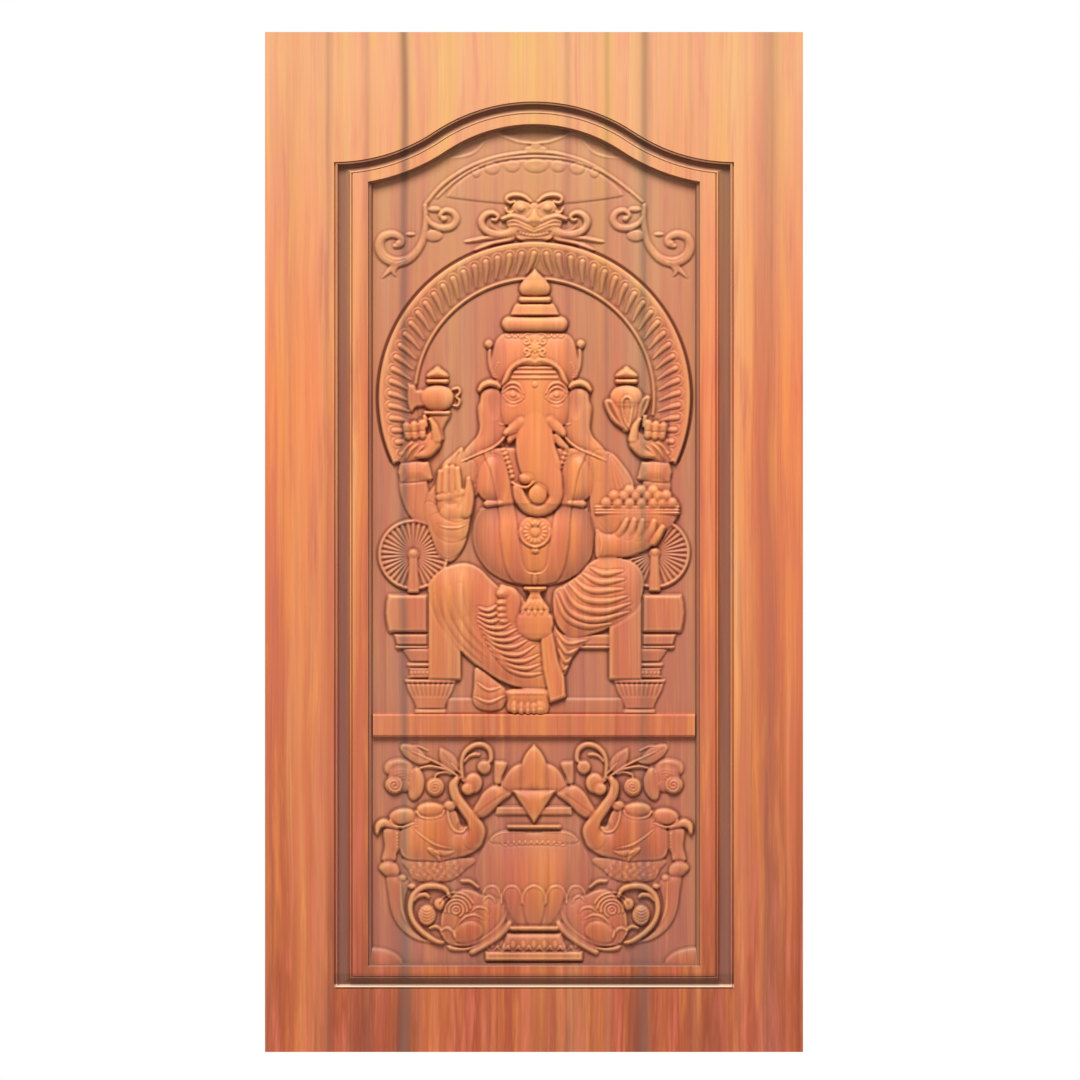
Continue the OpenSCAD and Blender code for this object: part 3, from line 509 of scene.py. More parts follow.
def carve_raised_hand(r):
    """Closed hand that rests on the halo's end, left side."""
    r.mound([(-275, 1181.9), (-264, 1209.5), (-260.9, 1227.9), (-244.3, 1234.1), (-216.7, 1234.1),
        (-198.3, 1246.4), (-187.8, 1227.9), (-190.3, 1209.5), (-204.4, 1195.4), (-225.9, 1186.8),
        (-250.5, 1180.7)], 6.5, 6, moat=1.2)
    for path in (((-268.9, 1185.6), (-256.6, 1207.7), (-241.2, 1219.4)),
            ((-256.6, 1184.4), (-245.5, 1204), (-230.2, 1216.9)),
            ((-242.5, 1184.4), (-233.3, 1199.1), (-219.8, 1212.6))):
        r.pleat(path, 3.4, 2.8, moat=1.1)
    r.limb([(-194, 1224.9, 9.8), (-198.3, 1247.6, 8), (-205.6, 1261.7, 4.9), (-208.7, 1265.4, 3.1)],
        9, 7, moat=0.8)
    r.limb([(-198.3, 1215.7, 12.3), (-213.6, 1198.5, 9.8), (-235.1, 1192.9, 5.5)], 8, 6, moat=0.6)
    r.limb([(-216.7, 1252.5, 5.2), (-217.9, 1267.9, 4.6), (-219.1, 1270.9, 3.4)], 10, 5.5, moat=0.8)
    for foot, tip in (((-251.7, 1231), (-254.8, 1251.3)), ((-237.6, 1231), (-239.4, 1253.7)),
            ((-223.4, 1232.9), (-224.1, 1256.8))):
        r.limb([foot + (7.8,), tip + (8.2,)], 11, 5.8, moat=0.7)
        r.line([(foot[0] - 6, foot[1] + 9), (foot[0] + 6, foot[1] + 9)], 2.2, -2)


def carve_pot(r, x):
    """Lidded pot held by a raised hand."""
    r.dome((x, 1308), 33, 27, 5.5, 11.5, moat=1.1, curve=0.6)
    r.mound(matched([(x, 1371), (x - 4, 1369.5), (x - 8, 1366), (x - 15, 1361), (x - 20.5, 1356),
        (x - 22.5, 1351), (x - 20, 1347.5), (x, 1347)], x), 5, 9, moat=1, smooth=False)
    r.limb([(x - 17.5, 1341, 4.8), (x + 17.5, 1341, 4.8)], 7, 7.5, moat=0.9)


def carve_left_pot(r):
    """Pot with a curled handle, over a curved blade."""
    r.plate([(-252, 1337), (-238, 1333), (-235.5, 1324), (-215, 1324), (-215, 1291), (-233, 1290),
        (-239, 1286), (-243.6, 1277), (-249.5, 1284), (-253, 1296), (-254, 1313)],
        3.4, 4, edge=5, smooth=False, moat=0.8)
    r.limb([(-162.3, 1325.2, 2.7), (-151.6, 1327, 2.7), (-148.4, 1318.1, 2.7), (-155.1, 1310.5, 2.7),
        (-148.9, 1302, 3.1), (-152.5, 1292.2, 2.7), (-161.4, 1293.1, 2.2)], 4, 4.4, moat=0.8)
    carve_pot(r, -193)
    r.limb([(-217, 1278, 4), (-171, 1278, 4)], 6, 7, moat=0.8)
    r.plate([(-211.4, 1273.5), (-168.5, 1275.2), (-175.7, 1257.4), (-181.9, 1242.2), (-180.1, 1224.4),
        (-190, 1226.1), (-200.7, 1251.1)], 4, 3.5, edge=8)


def carve_right_pot(r):
    """Pot held in a lotus calyx."""
    carve_pot(r, 185)
    r.turned(186, [(30, 1296), (27, 1280), (15, 1254), (7, 1241)], 5, 8, power=0.4)
    left_petal = [(141, 1301), (144, 1284), (158, 1260), (185, 1242), (188, 1245), (180, 1264), (169, 1286),
                  (158, 1302), (149, 1306)]
    left_cup = [(146, 1300), (149, 1285), (161, 1266), (175, 1252), (171, 1266), (163, 1283), (155, 1298)]
    right_petal = [(210, 1293), (221, 1311), (232, 1310), (230, 1295), (221, 1275), (208, 1259), (193, 1243),
                   (192, 1247), (200, 1259), (207, 1274)]
    right_cup = [(215, 1294), (222, 1306), (229, 1305), (226, 1293), (218, 1277), (210, 1266), (212, 1280)]
    for petal, cup in ((left_petal, left_cup), (right_petal, right_cup)):
        r.mound(petal, 7, 5.4, moat=1.2, curve=0.4)
        r.plate(cup, 0, -3.4, edge=6, how="on", moat=0)
        # Painted shade in the petals' cups.
        where, d = r.past(cup, smooth=True)
        r.painted_shade[where] += 0.9 * np.clip(-d / 4, 0, 1)
    r.ridge([(189, 1248, 2.4), (180, 1268, 2.8), (176, 1292, 3), (179, 1306, 3), (186, 1310, 3),
        (193, 1306, 3), (197, 1292, 3), (194, 1268, 2.8), (190, 1248, 2.4)], 3, 1.4)


def carve_crown(r):
    """Stepped crown with finial, garland and brow band."""
    x = 1.6
    r.both(carve_crown_scroll, r, axis=x)
    r.mound(matched([(x, 1440), (-48, 1439), (-62, 1435.5), (-72, 1427.5), (-78.5, 1416), (-82.6, 1398),
        (-86, 1375), (-83.6, 1359), (-78.8, 1346.5), (-64.3, 1337), (x, 1332)], x),
        3.5, 12.5, moat=1.4, curve=0.8)
    r.limb([(-49.5, 1455.8, 15), (52.6, 1455.8, 15)], 6, 9.5, moat=1.2)
    r.turned(x, [(49, 1473), (47, 1478), (44, 1485), (41, 1491), (37, 1496)], 6, 9, moat=1, power=1)
    r.beads([(x - 46, 1474), (x + 46, 1474)], 2.2, 5.2, 1.4, moat=0.2)
    r.limb([(-24.3, 1504.5, 6.2), (28, 1504.5, 6.2)], 7, 7.5, moat=1)
    r.mound(matched([(1.6, 1565.8), (-5.5, 1558.2), (-13.4, 1550.6), (-21.3, 1542.9), (-27.2, 1534.7),
        (-29.5, 1526.8), (-28.1, 1519.5), (-22.5, 1513.6), (1.6, 1511.2)], x),
        7, 9, moat=1.4, curve=0.7, smooth=False)
    for side in (-1, 1):
        for k in (2, 3, 4):
            r.spiral((x + side * (2 + 12.5 * k), 1435.5), 6, 6, 0.5, 180, 1, 1.9, 0.4, 2.4, how="on", moat=1)
        r.spiral((x + side * 17, 1421), 8.4, 2, 1.1, 90, side, 2.6, 0, 3, how="on", moat=1.2)
        r.spiral((x + side * 17, 1400), 8.4, 2, 1.1, 270, -side, 2.6, 0, 3, how="on", moat=1.2)
        r.pleat([(x + side * 4, 1436), (x + side * 18, 1436), (x + side * 25, 1424)], 2.4, 1.6)
        r.beads([(x + side * 72, 1380), (x + side * 80, 1362), (x + side * 76, 1344)], 3, 6, 1.6, moat=0.4)
    for k in range(8):
        a = math.pi * k / 4
        r.boss(polar((x, 1410), 8.4, a), 4.6, 3.2, 2.6, 0.9, math.degrees(a))
    r.dome((x, 1410), 6, 6, 0.6, 3.2, how="on", moat=1.2)
    r.limb([(-60.6, 1335.8, 5), (-49.5, 1359.3, 6.2), (-36, 1374, 6.2), (-19, 1382.2, 5.9),
        (-7.2, 1383.3, 5.6), (1.6, 1379.2, 5.3), (10.4, 1383.3, 5.6), (22.1, 1382.2, 5.9), (39.7, 1374, 6.2),
        (53.2, 1359.3, 6.2), (64.3, 1335.8, 5)], 11, 6.5, moat=1)


def carve_crown_scroll(r):
    """Curl that stands beside the crown's bowl, left hand."""
    r.limb([(-80, 1349.3, 3.5), (-87, 1369.8, 3.8), (-88.8, 1390.4, 3.8), (-88.2, 1405.1, 3.5)], 3, 4)
    r.dome((-90.3, 1415.3), 8.5, 8.5, 4, 6)
    r.spiral((-90.3, 1415.3), 6, 2, 1, 270, 1, 1.8, 0, 1.4, how="on", moat=0.5)


def carve_ear(r):
    """Ear with its rolled top edge, left hand."""
    r.mound([(-69.4, 1325.8), (-91.7, 1328.2), (-105.2, 1320), (-107.6, 1302.4), (-112.3, 1287.7),
        (-111.1, 1267.2), (-109.3, 1246.6), (-114, 1230.8), (-126.9, 1216.7), (-139.8, 1200.9),
        (-145.7, 1180.9), (-135.7, 1181.5), (-112.3, 1193.8), (-84.7, 1206.7), (-67.1, 1220.2),
        (-55.4, 1234.9), (-57.1, 1261.3), (-61.8, 1296.5)], 4.5, 6, moat=1.4, curve=0.5)
    r.swell((-80, 1295), 13, 32, -3)
    r.pleat([(-101.7, 1314.1), (-104.6, 1293.6), (-105.2, 1267.2), (-105.8, 1243.7), (-121.1, 1217.3)],
        4.5, 1.6, moat=0.2)
    r.pleat([(-71.2, 1258.4), (-64.7, 1254.3), (-57.1, 1256)], 2.6, 1.8)
    r.limb([(-144.5, 1180.9, 1.2), (-115.2, 1193.8, 2.3), (-85.3, 1206.7, 2.9), (-66.5, 1220.2, 2.9),
        (-55.4, 1234.3, 2.3)], 8, 4.6, moat=0.8)
    r.limb([(-109.3, 1323.5, 3.8), (-101.7, 1332.9, 6.2), (-88.8, 1337.9, 7), (-75.3, 1335.2, 6.2),
        (-68.8, 1330, 4.4)], 6.5, 8, moat=1)


def carve_eye(r):
    """Eye with its arched socket, left hand."""
    r.swell((-41.9, 1316.5), 20, 15, -2.4)
    r.mound([(-61.2, 1317), (-52.4, 1322.9), (-41.9, 1325.3), (-31.3, 1319.4), (-23.1, 1308.2),
        (-34.2, 1303.6), (-44.8, 1301.2), (-54.8, 1306.5)], 0.3, 3.2, how="on", moat=0.5)
    r.dome((-41.9, 1315.3), 6.6, 6, 0.6, 2, how="on", moat=1.4)
    r.boss((-41.9, 1315.3), 2.6, 2.6, -1.8, 0)
    r.ridge([(-65.3, 1320, 1.8), (-58.9, 1331.1, 2.6), (-44.8, 1338.2, 3.2), (-30.1, 1333.5, 2.9),
        (-20.7, 1316.5, 1.8)], 3, 0.8)
    r.ridge([(-64.2, 1317, 1.8), (-52.4, 1325.8, 2.3), (-41.3, 1328.8, 2.6), (-29.5, 1322.3, 2.3),
        (-20.7, 1308.2, 1.5)], 2.8, 1)
    r.ridge([(-63, 1314.7, 1.5), (-54.8, 1304.1, 2.1), (-43.6, 1298.3, 2.3), (-31.9, 1300.6, 2.1),
        (-21.3, 1307.1, 1.5)], 2.2, 0.8)
    r.pleat([(-56.5, 1295), (-43.6, 1290.6), (-30.1, 1295)], 4, 0.9, moat=0)


def carve_head(r):
    """Elephant head: brow, cheeks, eyes, tusks and trunk."""
    x = 1.6
    r.both(carve_ear, r, axis=x)
    r.limb([(1.9, 1246.6, 35.8), (2.1, 1220.2, 39), (5.7, 1193.8, 40.2), (13.3, 1170.4, 40.5),
        (17.9, 1168, 34.1), (27.5, 1148.8, 28.3), (38.7, 1130.7, 18.7)], 9.5, 3, moat=1.6)
    r.mound([(-51.2, 1343.4), (-41.9, 1364.6), (-21.3, 1374.5), (1.6, 1372.2), (24.4, 1374.5), (46.2, 1364.6),
        (56.1, 1343.4), (67.3, 1330), (69, 1302.4), (67.3, 1273), (60.8, 1253.7), (45, 1250.7),
        (28.5, 1234.9), (1.6, 1226.1), (-24.8, 1234.9), (-41.3, 1250.7), (-57.1, 1253.7), (-64.2, 1273),
        (-65.3, 1302.4), (-63.6, 1330)], 8, 7.5, how="cover", moat=1, curve=0.5)
    for z, half in ((1368.1009, 34.0276), (1358.714, 40.4811), (1348.7404, 44.5879)):
        r.limb([(x - half, z, 3.2), (x + half, z, 3.2)], 0.2, 2.4, how="on", moat=0.8)
    r.both(r.swell, (-44.8, 1276), 20, 26, 2.6, axis=x)
    r.both(carve_eye, r, axis=x)
    r.limb([(-27.2, 1259.5, 11.7), (-40.1, 1247.8, 11.1), (-51.8, 1240.2, 7.9), (-55.9, 1237.3, 5.9)],
        10, 6.5, moat=0.9)
    r.limb([(-37.2, 1234.9, 7), (-46.6, 1227.9, 7.9), (-49.5, 1222, 4.7)], 7, 5, moat=0.8)
    r.limb([(32.7, 1262.5, 10.6), (45.6, 1249.6, 11.1), (56.1, 1239.6, 8.2), (59.1, 1234.9, 5.3)],
        10, 6.5, moat=0.9)
    r.limb([(44.4, 1230.2, 8.2), (52, 1219.7, 8.8), (63.2, 1210.3, 5.3), (68.4, 1207.9, 2.3)], 7, 5, moat=0.8)
    r.ridge([(1.6, 1343.4, 13.5), (1.6, 1314.1, 18.2), (2.1, 1284.8, 24.6), (2.1, 1258.4, 30.5)], 1.4, 0, 1)
    curl = ((43.5, 1114.7, 14.4), (38.7, 1100.3, 13.3), (25.3, 1087.5, 12), (6.7, 1082.7, 11.5),
        (-14.1, 1090.1, 12.3), (-26.9, 1106.7, 12.3), (-31.7, 1121.6, 10.7), (-34.9, 1129.1, 8))
    r.limb(curl, 11, 3, moat=1.3)
    r.limb([(1.6, 1331.7, 12.9, -3.6), (1.6, 1302.4, 18.2, -1.8), (2.1, 1273, 25.8, 0),
        (1.9, 1246.6, 33.4, 1.4), (2.1, 1220.2, 38.4, 3), (5.7, 1193.8, 40.2, 4), (13.3, 1170.4, 40.5, 4.4),
        (17.9, 1168, 34.1, 4.4), (27.5, 1148.8, 28.3, 4.4), (38.7, 1130.7, 18.7, 4.2),
        (42.9, 1114.7, 14.4, 4)], 9.5, 7.4, moat=0, curve=0.6)
    r.limb([(34.9, 1144, 19.2, -7), (40.3, 1130.1, 17.1, -3)] + [point + (0,) for point in curl],
        13, 7, moat=0)
    r.mound([(-28, 1154.1), (-17.3, 1157.9), (-4, 1154.1), (-1.9, 1144), (-10.9, 1136), (-24.8, 1138.1),
        (-29.1, 1146.1)], 13.5, 6.5, moat=1)
    r.dome((8, 1114.7), 19, 21.5, 13.5, 7.4, moat=1.6)
    r.limb([(-42.9, 1138.1, 2.1), (-33.3, 1132.3, 2.7), (-17.3, 1129.1, 2.9), (-7.7, 1133.3, 2.7),
        (0.3, 1140.8, 2.4)], 15, 4.4, moat=0.8)
    r.dome((1.6, 1334.6), 6.4, 6.4, 0.2, 1.8, how="on", moat=0.8)


def carve_torso(r):
    """Chest, belly, shawl, medallion and hanging beads."""
    x = 1.9
    r.plate([(-100, 1208), (104, 1208), (100, 1085.3), (-94.7, 1085.3)],
        6, 2, edge=10, smooth=False, moat=0.6)
    r.both(r.limb, [(-105.3, 1192, 18.7), (-121.3, 1173.3, 17.6), (-126.7, 1146.7, 12.3)],
        4, 6, moat=1, axis=x)
    r.both(r.mound, [(-94.1, 1193.1), (-106.4, 1185.1), (-113.9, 1166.9), (-116.5, 1144), (-113.3, 1121.6),
        (-103.2, 1106.7), (-88.8, 1100.8), (-66.4, 1104), (-57.3, 1144), (-62.7, 1178.7), (-76, 1194.1)],
        5, 10.5, moat=1.2, curve=0.9, axis=x)
    r.both(r.limb, [(-94.1, 1096, 6.7), (-68, 1096, 6.7)], 7, 3.4, moat=0.7, curve=0.4, axis=x)
    belly = [(-96, 1089.1), (-110.7, 1080.5), (-119.7, 1061.3), (-122.9, 1037.3), (-120.8, 1013.3),
        (-110.7, 986.7), (-90.7, 961.3), (-62.7, 944), (-30.7, 933.9), (0.3, 931.7), (34.7, 933.9),
        (68, 943.5), (96, 961.3), (113.3, 986.7), (120.8, 1013.3), (122.9, 1037.3), (118.7, 1062.9),
        (109.3, 1081.1), (97.9, 1089.1), (0.3, 1098.7)]
    r.mound(belly, 2.5, 14, how="cover", moat=1.8, curve=1)
    # Painted shade toward the belly's edges, to round it.
    where, d = r.past(belly, smooth=True)
    r.painted_shade[where] += 0.8 * np.clip(1 + d / 36, 0, 1) ** 1.5 * (d < 0)
    r.both(r.plate, [(-99.5, 1200), (-70.7, 1216), (-54.7, 1170.7), (-44, 1117.3), (-37.1, 1078.7),
        (-30.7, 1037.3), (-27.5, 1008), (-23.2, 976), (-13.1, 960), (4, 955.7), (4, 932.8), (-28, 936.5),
        (-44, 943.5), (-57.3, 970.7), (-66.4, 1021.3), (-68.5, 1064), (-74.4, 1106.7), (-85.1, 1157.3)],
        1.4, 1.2, edge=5, how="on", moat=1.3, axis=x)
    r.both(r.pleat, [(-27.5, 1021.3), (-23.2, 976), (-13.1, 960), (1.9, 955.7), (14.7, 957.3)],
        3.2, 1.3, moat=0.3, axis=x)
    r.both(r.beads, [(-66.4, 1218.7), (-57.3, 1194.7), (-48.3, 1168), (-40.8, 1141.3)],
        5.4, 9.6, 4.6, moat=1, axis=x)
    at = (2.4, 1040)
    r.dome(at, 34, 32, 1, 1.6, how="on", moat=1.3, curve=0.4)
    r.spiral(at, 29.5, 29.5, 0.56, 170, 1, 3.4, 0, 2.2, how="on", moat=0.9)
    for k in range(16):
        a = 2 * math.pi * k / 16
        r.boss(polar(at, 19, a), 6, 2.8, 1.8, 0.5, math.degrees(a))
    r.dome(at, 10, 10, 0.3, 1.6, how="on", moat=0.8)
    r.dome((2.4, 1057.1), 8.5, 8.5, 0.6, 3, how="on", moat=0.9)
    r.plate([(-5.6, 1013.3), (10.4, 1013.3), (11.5, 997.3), (-6.7, 997.3)],
        0.6, 1.6, edge=3, how="on", smooth=False, moat=0.8)
    r.dome((2.4, 1003.7), 6.6, 6.6, 0.2, 2, how="on", moat=0.8)
    r.boss((2.4, 1004.8), 2.6, 2.6, -1.4, 0)


def carve_tassel(r):
    """Small pot that hangs under the belly."""
    x = 2
    r.turned(x, [(22, 929), (22, 925), (12, 921), (11, 915), (18, 900), (28, 888), (31, 880)], 10, 6)
    r.turned(x, [(26, 882), (36, 870), (38, 856), (33, 838), (20, 828), (8, 824)], 11, 8.5, moat=1.8)
    for k in range(-2, 3):
        r.leaf([(x + k * 7, 902), (x + k * 11.5, 888), (x + k * 13.5, 871 + 1.5 * abs(k))],
            13, 0.6, 2.2, how="on", vein=0)
    r.turned(x, [(21, 930), (23, 927), (21, 924)], 14, 5)


def carve_lower_left_arm(r):
    """Blessing hand with cuff, elbow and sleeve."""
    r.plate([(-144.1, 1208.4), (-137.2, 1189.3), (-114.6, 1172), (-119.8, 1111.2), (-137.2, 1020.2),
        (-163.2, 981.1), (-189.2, 989.8), (-202.2, 1020.2), (-216.1, 1085.2), (-210.9, 1115.6),
        (-197.9, 1137.3), (-184.9, 1172), (-163.2, 1193.6)], 4, 4, edge=14, moat=1.4)
    for k in range(4):
        r.line([(-150.2, 1198), (-185 + 6 * k, 1150 - 8 * k), (-208 + 10 * k, 1098 - 10 * k)], 2.4, -1)
    r.mound([(-214, 1100), (-218, 1078), (-214, 1055), (-202, 1021), (-189, 996), (-173, 987), (-152, 996),
        (-139, 1014), (-134, 1034), (-140, 1060), (-190, 1090)], 5.5, 6.5, moat=1.3, curve=0.6)
    r.mound([(-203, 1072), (-203, 1055), (-195, 1034), (-173, 1020), (-150, 1022), (-134, 1034), (-129, 1055),
        (-130, 1076), (-166, 1084)], 8.5, 5.5, moat=1, curve=0.5)
    r.pleat([(-192, 1053), (-172, 1048), (-150, 1049), (-134, 1056)], 3, 1.6, moat=0.6)
    r.mound([(-193.5, 1116), (-194, 1102), (-190, 1084), (-180, 1070), (-166, 1062), (-150, 1060),
        (-141, 1065), (-130, 1078), (-122, 1096), (-120.5, 1116), (-127, 1132), (-143, 1127), (-146, 1150),
        (-152, 1168), (-163, 1172), (-176, 1171), (-187, 1163), (-192, 1140)], 9.5, 5, moat=1.4, curve=0.35)
    for tip, foot, wide in (((-188, 1160), (-189.4, 1121), 6), ((-175.7, 1168), (-177, 1122), 7.2),
            ((-163, 1169), (-163.4, 1123), 6.8), ((-153, 1166), (-150.6, 1125), 6)):
        middle = ((tip[0] + foot[0]) / 2, (tip[1] + foot[1]) / 2)
        r.limb([foot + (wide,), middle + (wide,), tip + (0.76 * wide,)], 12, 4.6, moat=0.6)
    r.limb([(-138, 1082, 15), (-131, 1104, 11.5), (-130, 1126, 8), (-131, 1146, 4.4)], 11.5, 5.6, moat=0.8)
    r.dome((-162, 1080), 27, 17, 11, 4.6, moat=0.3, curve=0.6)
    r.limb([(-188, 1109, 8), (-168, 1113, 8.4), (-147, 1119, 8)], 12, 3.6, moat=0.4)
    r.swell((-166, 1098), 15, 8, -2)


def carve_offering(r):
    """Lower right arm with the bowl of sweets."""
    r.mound([(118.7, 1198), (153.4, 1198), (179.4, 1172), (198.5, 1139), (201.1, 1102.6), (196.7, 1041.9),
        (125.6, 1033.2), (110, 1137.3)], 4.5, 6, moat=1.2, curve=0.5)
    for k in range(5):
        r.pleat([(151.6, 1193.6), (154 + 10 * k, 1146 - 5 * k), (160 + 14 * k, 1104 - 4 * k)],
            3, 1.2, moat=0.5)
    r.turned(206, [(83, 1092), (83, 1076), (79, 1066), (70, 1052), (52, 1036)], 5, 9.5)
    for z in (1090, 1084, 1078):
        r.limb([(124, z, 2.8), (289, z, 2.8)], 9.5, 4.8, moat=0.7)
    r.plate([(136, 1090), (282, 1090), (272, 1110), (250, 1122), (190, 1126), (160, 1116)],
        7, 3, edge=6, moat=0.8)
    rows = ((1098, (145, 167, 191, 215, 238, 257, 275)), (1112, (160, 181, 204, 227, 247, 264)),
        (1122, (191, 214, 238)))
    for z, xs in rows:
        for x in xs:
            r.dome((x, z), 11.6, 11.6, 9, 7.5, moat=0.8, curve=0.6)
    r.mound([(124, 1043), (134, 1039), (144, 1035), (158, 1036), (169, 1046), (179, 1058), (218, 1058),
        (246, 1052), (259, 1040), (249, 1024), (236, 1012), (218, 1001), (184, 990), (150, 988), (124, 989)],
        7.5, 7.5, moat=1.4, curve=0.5)
    for tip, foot, wide in (((185, 1063), (171, 1036), 6.6), ((200.5, 1063), (189, 1031), 7.4),
            ((217, 1062), (208, 1029), 7.2), ((240, 1060), (228, 1028), 8), ((257, 1048), (239, 1020), 8)):
        middle = ((tip[0] + foot[0]) / 2 + 1, (tip[1] + foot[1]) / 2)
        r.limb([foot + (wide, -3), middle + (wide, 0), tip + (0.78 * wide, 0)], 12.5, 5, moat=0.8)
    r.pleat([(132, 1038), (136, 1014), (132, 992)], 3.4, 1.6, moat=0.6)


def carve_left_leg(r):
    """Lowered leg under its pleated cloth."""
    r.mound([(-212, 920.8), (-205.6, 944.3), (-184.3, 964.7), (-158.7, 975), (-133.1, 976.7), (-107.5, 965.6),
        (-86.1, 944.3), (-64.8, 927.2), (-34.9, 922.9), (-13.6, 893.1), (-2.5, 858.9), (10.3, 835),
        (18.8, 799.2), (21.4, 765.1), (23.1, 720.7), (-9.3, 724.1), (-43.5, 732.6), (-77.6, 748),
        (-103.2, 765.1), (-128.8, 784.3), (-150.1, 805.6), (-175.7, 837.6), (-196.2, 871.7)],
        6, 10, how="cover", moat=1.8, curve=0.6)
    r.swell((-158.7, 922.9), 58, 58, 3.4)
    for path in (((-197.9, 912.3), (-187.7, 867.5), (-162.9, 824.8), (-124.5, 786.4)),
            ((-184.3, 922.9), (-174.9, 871.7), (-147.6, 824.8), (-103.2, 780)),
            ((-167.2, 931.5), (-160.4, 880.3), (-135.6, 833.3), (-94.7, 790.7)),
            ((-146.7, 935.7), (-143.3, 888.8), (-124.5, 846.1), (-94.7, 807.7))):
        r.pleat(path, 6.5, 1.2, moat=0.5)
    for path in (((-111.7, 889.2), (-91.7, 883.3), (-69.1, 895.6)),
            ((-111.7, 877.3), (-89.5, 872.2), (-68.2, 880.3)),
            ((-113.4, 869.2), (-87.4, 860.2), (-63.1, 867.5)),
            ((-113.4, 863.2), (-93.4, 850.4), (-67.4, 847.8), (-46, 856.4)),
            ((-110.9, 853.4), (-89.5, 838.5), (-59.3, 835), (-31.5, 847)),
            ((-105.8, 842.3), (-82.7, 826.1), (-51.1, 823.1), (-23, 834.2)),
            ((-100.6, 831.2), (-74.6, 813.3), (-41.3, 809.9), (-11.9, 823.9)),
            ((-96.4, 820.1), (-66.5, 798.8), (-29.4, 794.9), (2.6, 812.9)),
            ((-90.8, 808.6), (-58.4, 786), (-21.3, 781.3), (12, 794.9)),
            ((-84.4, 797.1), (-51.1, 774), (-15.3, 766.8), (13.7, 775.7)),
            ((-73.3, 783), (-45.2, 762.5), (-11, 754), (17.1, 757.8))):
        r.pleat(path, 4.8, 3.6, moat=1.4)


def carve_right_leg(r):
    """Folded leg with its cloth."""
    r.mound([(38.5, 854.7), (58.9, 835), (112.3, 829.9), (93.9, 809.9), (77.7, 790.7), (69.2, 771.5),
        (59.8, 753.1), (50.4, 782.1), (41, 812)], 6, 5, moat=1.2, curve=0.5)
    for path in (((44.4, 843.6), (67.5, 818), (105, 823.1)), ((45.3, 826.5), (65.8, 798.3), (90.5, 806.9)),
            ((47.8, 806.9), (62.3, 780.4), (78.6, 789)), ((50.4, 788.1), (59.8, 765.1), (70.9, 773.6))):
        r.pleat(path, 4.4, 3, moat=1.2)
    r.mound([(39.7, 918.7), (58.9, 933.6), (88.8, 953.7), (112.3, 978.4), (135.7, 988.6), (165.6, 988.6),
        (195.5, 980.5), (213.4, 963.5), (220.2, 940), (215.9, 910.1), (201.9, 882.4), (165.6, 856.8),
        (122.9, 837.6), (76, 829.1), (52.5, 844), (39.7, 871.7)], 6, 11.5, how="cover", moat=1.8, curve=0.6)
    for path in (((112.3, 968.2), (140, 957.1), (178.4, 962.2)), ((96.5, 957.1), (131.5, 940), (181, 945.1)),
            ((78.6, 946.8), (114.4, 922.9), (178.4, 925.5)),
            ((67.5, 937.4), (100.7, 906.7), (144.3, 900.7), (186.9, 911)),
            ((58.9, 928.9), (87.1, 891.4), (140, 881.1), (193.8, 897.3)),
            ((50.4, 920.4), (74.3, 878.6), (122.9, 863.2), (191.2, 880.3)),
            ((43.6, 912.7), (64.9, 869.2), (105.9, 851.3), (155.4, 856.4))):
        r.pleat(path, 6.4, 3.4, moat=1.3)


def carve_feet(r):
    """Both feet, the folded sole and the sash."""
    r.mound([(-69.9, 928.1), (-52, 931.5), (-34.9, 923.8), (-27.3, 901.6), (-29.8, 876), (-37.5, 855.5),
        (-55.4, 853), (-69.1, 858.1)], 11.5, 5, moat=1, curve=0.5)
    for at, rx, rz in (((-62.2, 917), 13.5, 10.5), ((-64.4, 898.2), 11, 7.4), ((-65.2, 885), 10.5, 7),
            ((-63.9, 872.2), 10.5, 6.6), ((-60.5, 861.1), 10, 6)):
        r.dome(at, rx, rz, 13, 6, moat=0.9)
        r.boss((at[0] - 3, at[1]), rx * 0.45, rz * 0.45, 1, 0.4)
    r.mound([(-117.7, 766.8), (-120.3, 730.9), (-122.8, 705.3), (-113.9, 688.3), (-90.4, 681.9),
        (-63.9, 687.4), (-52.9, 709.6), (-56.3, 724.5), (-69.1, 736.1), (-103.2, 762.5)],
        5, 8.5, moat=1.4, curve=0.55)
    r.pleat([(-115.1, 738.6), (-90.4, 724.1), (-62.2, 730.9)], 3.8, 2.6, moat=1)
    r.pleat([(-121.1, 710.5), (-89.5, 699.4), (-54.6, 713.9)], 3.8, 2.6, moat=1)
    r.plate([(-50.3, 724.5), (25.7, 724.5), (29.9, 705.3), (27.4, 678.9), (7.7, 675.5), (-13.6, 678),
        (-51.1, 681.4), (-53.7, 705.3)], 8.5, 5, edge=12, moat=1.4)
    r.beads([(-46.9, 717.3), (23.1, 717.3)], 3.4, 6.8, 2.2)
    for at, rx, rz in (((-39.2, 689.1), 8.5, 13), ((-25.5, 687.4), 8, 13), ((-11.9, 687.4), 8, 13),
            ((12, 689.1), 13, 13.5), ((-0.8, 687.4), 6.5, 12)):
        r.dome(at, rx, rz, 10.5, 5.6, curve=0.5, moat=1)
        r.boss((at[0], at[1] - 5), rx * 0.55, 4.4, 1.3, 0.6)
    r.plate([(11.1, 845.3), (35.9, 847.8), (49.5, 782.1), (61.5, 748), (64.1, 709.6), (31.6, 698.1),
        (18, 765.1)], 10.5, 4, edge=5, smooth=False, moat=1.4)
    r.line([(44.4, 803.5), (54.7, 752.3), (53.8, 704.5)], 2.4, -1.4)


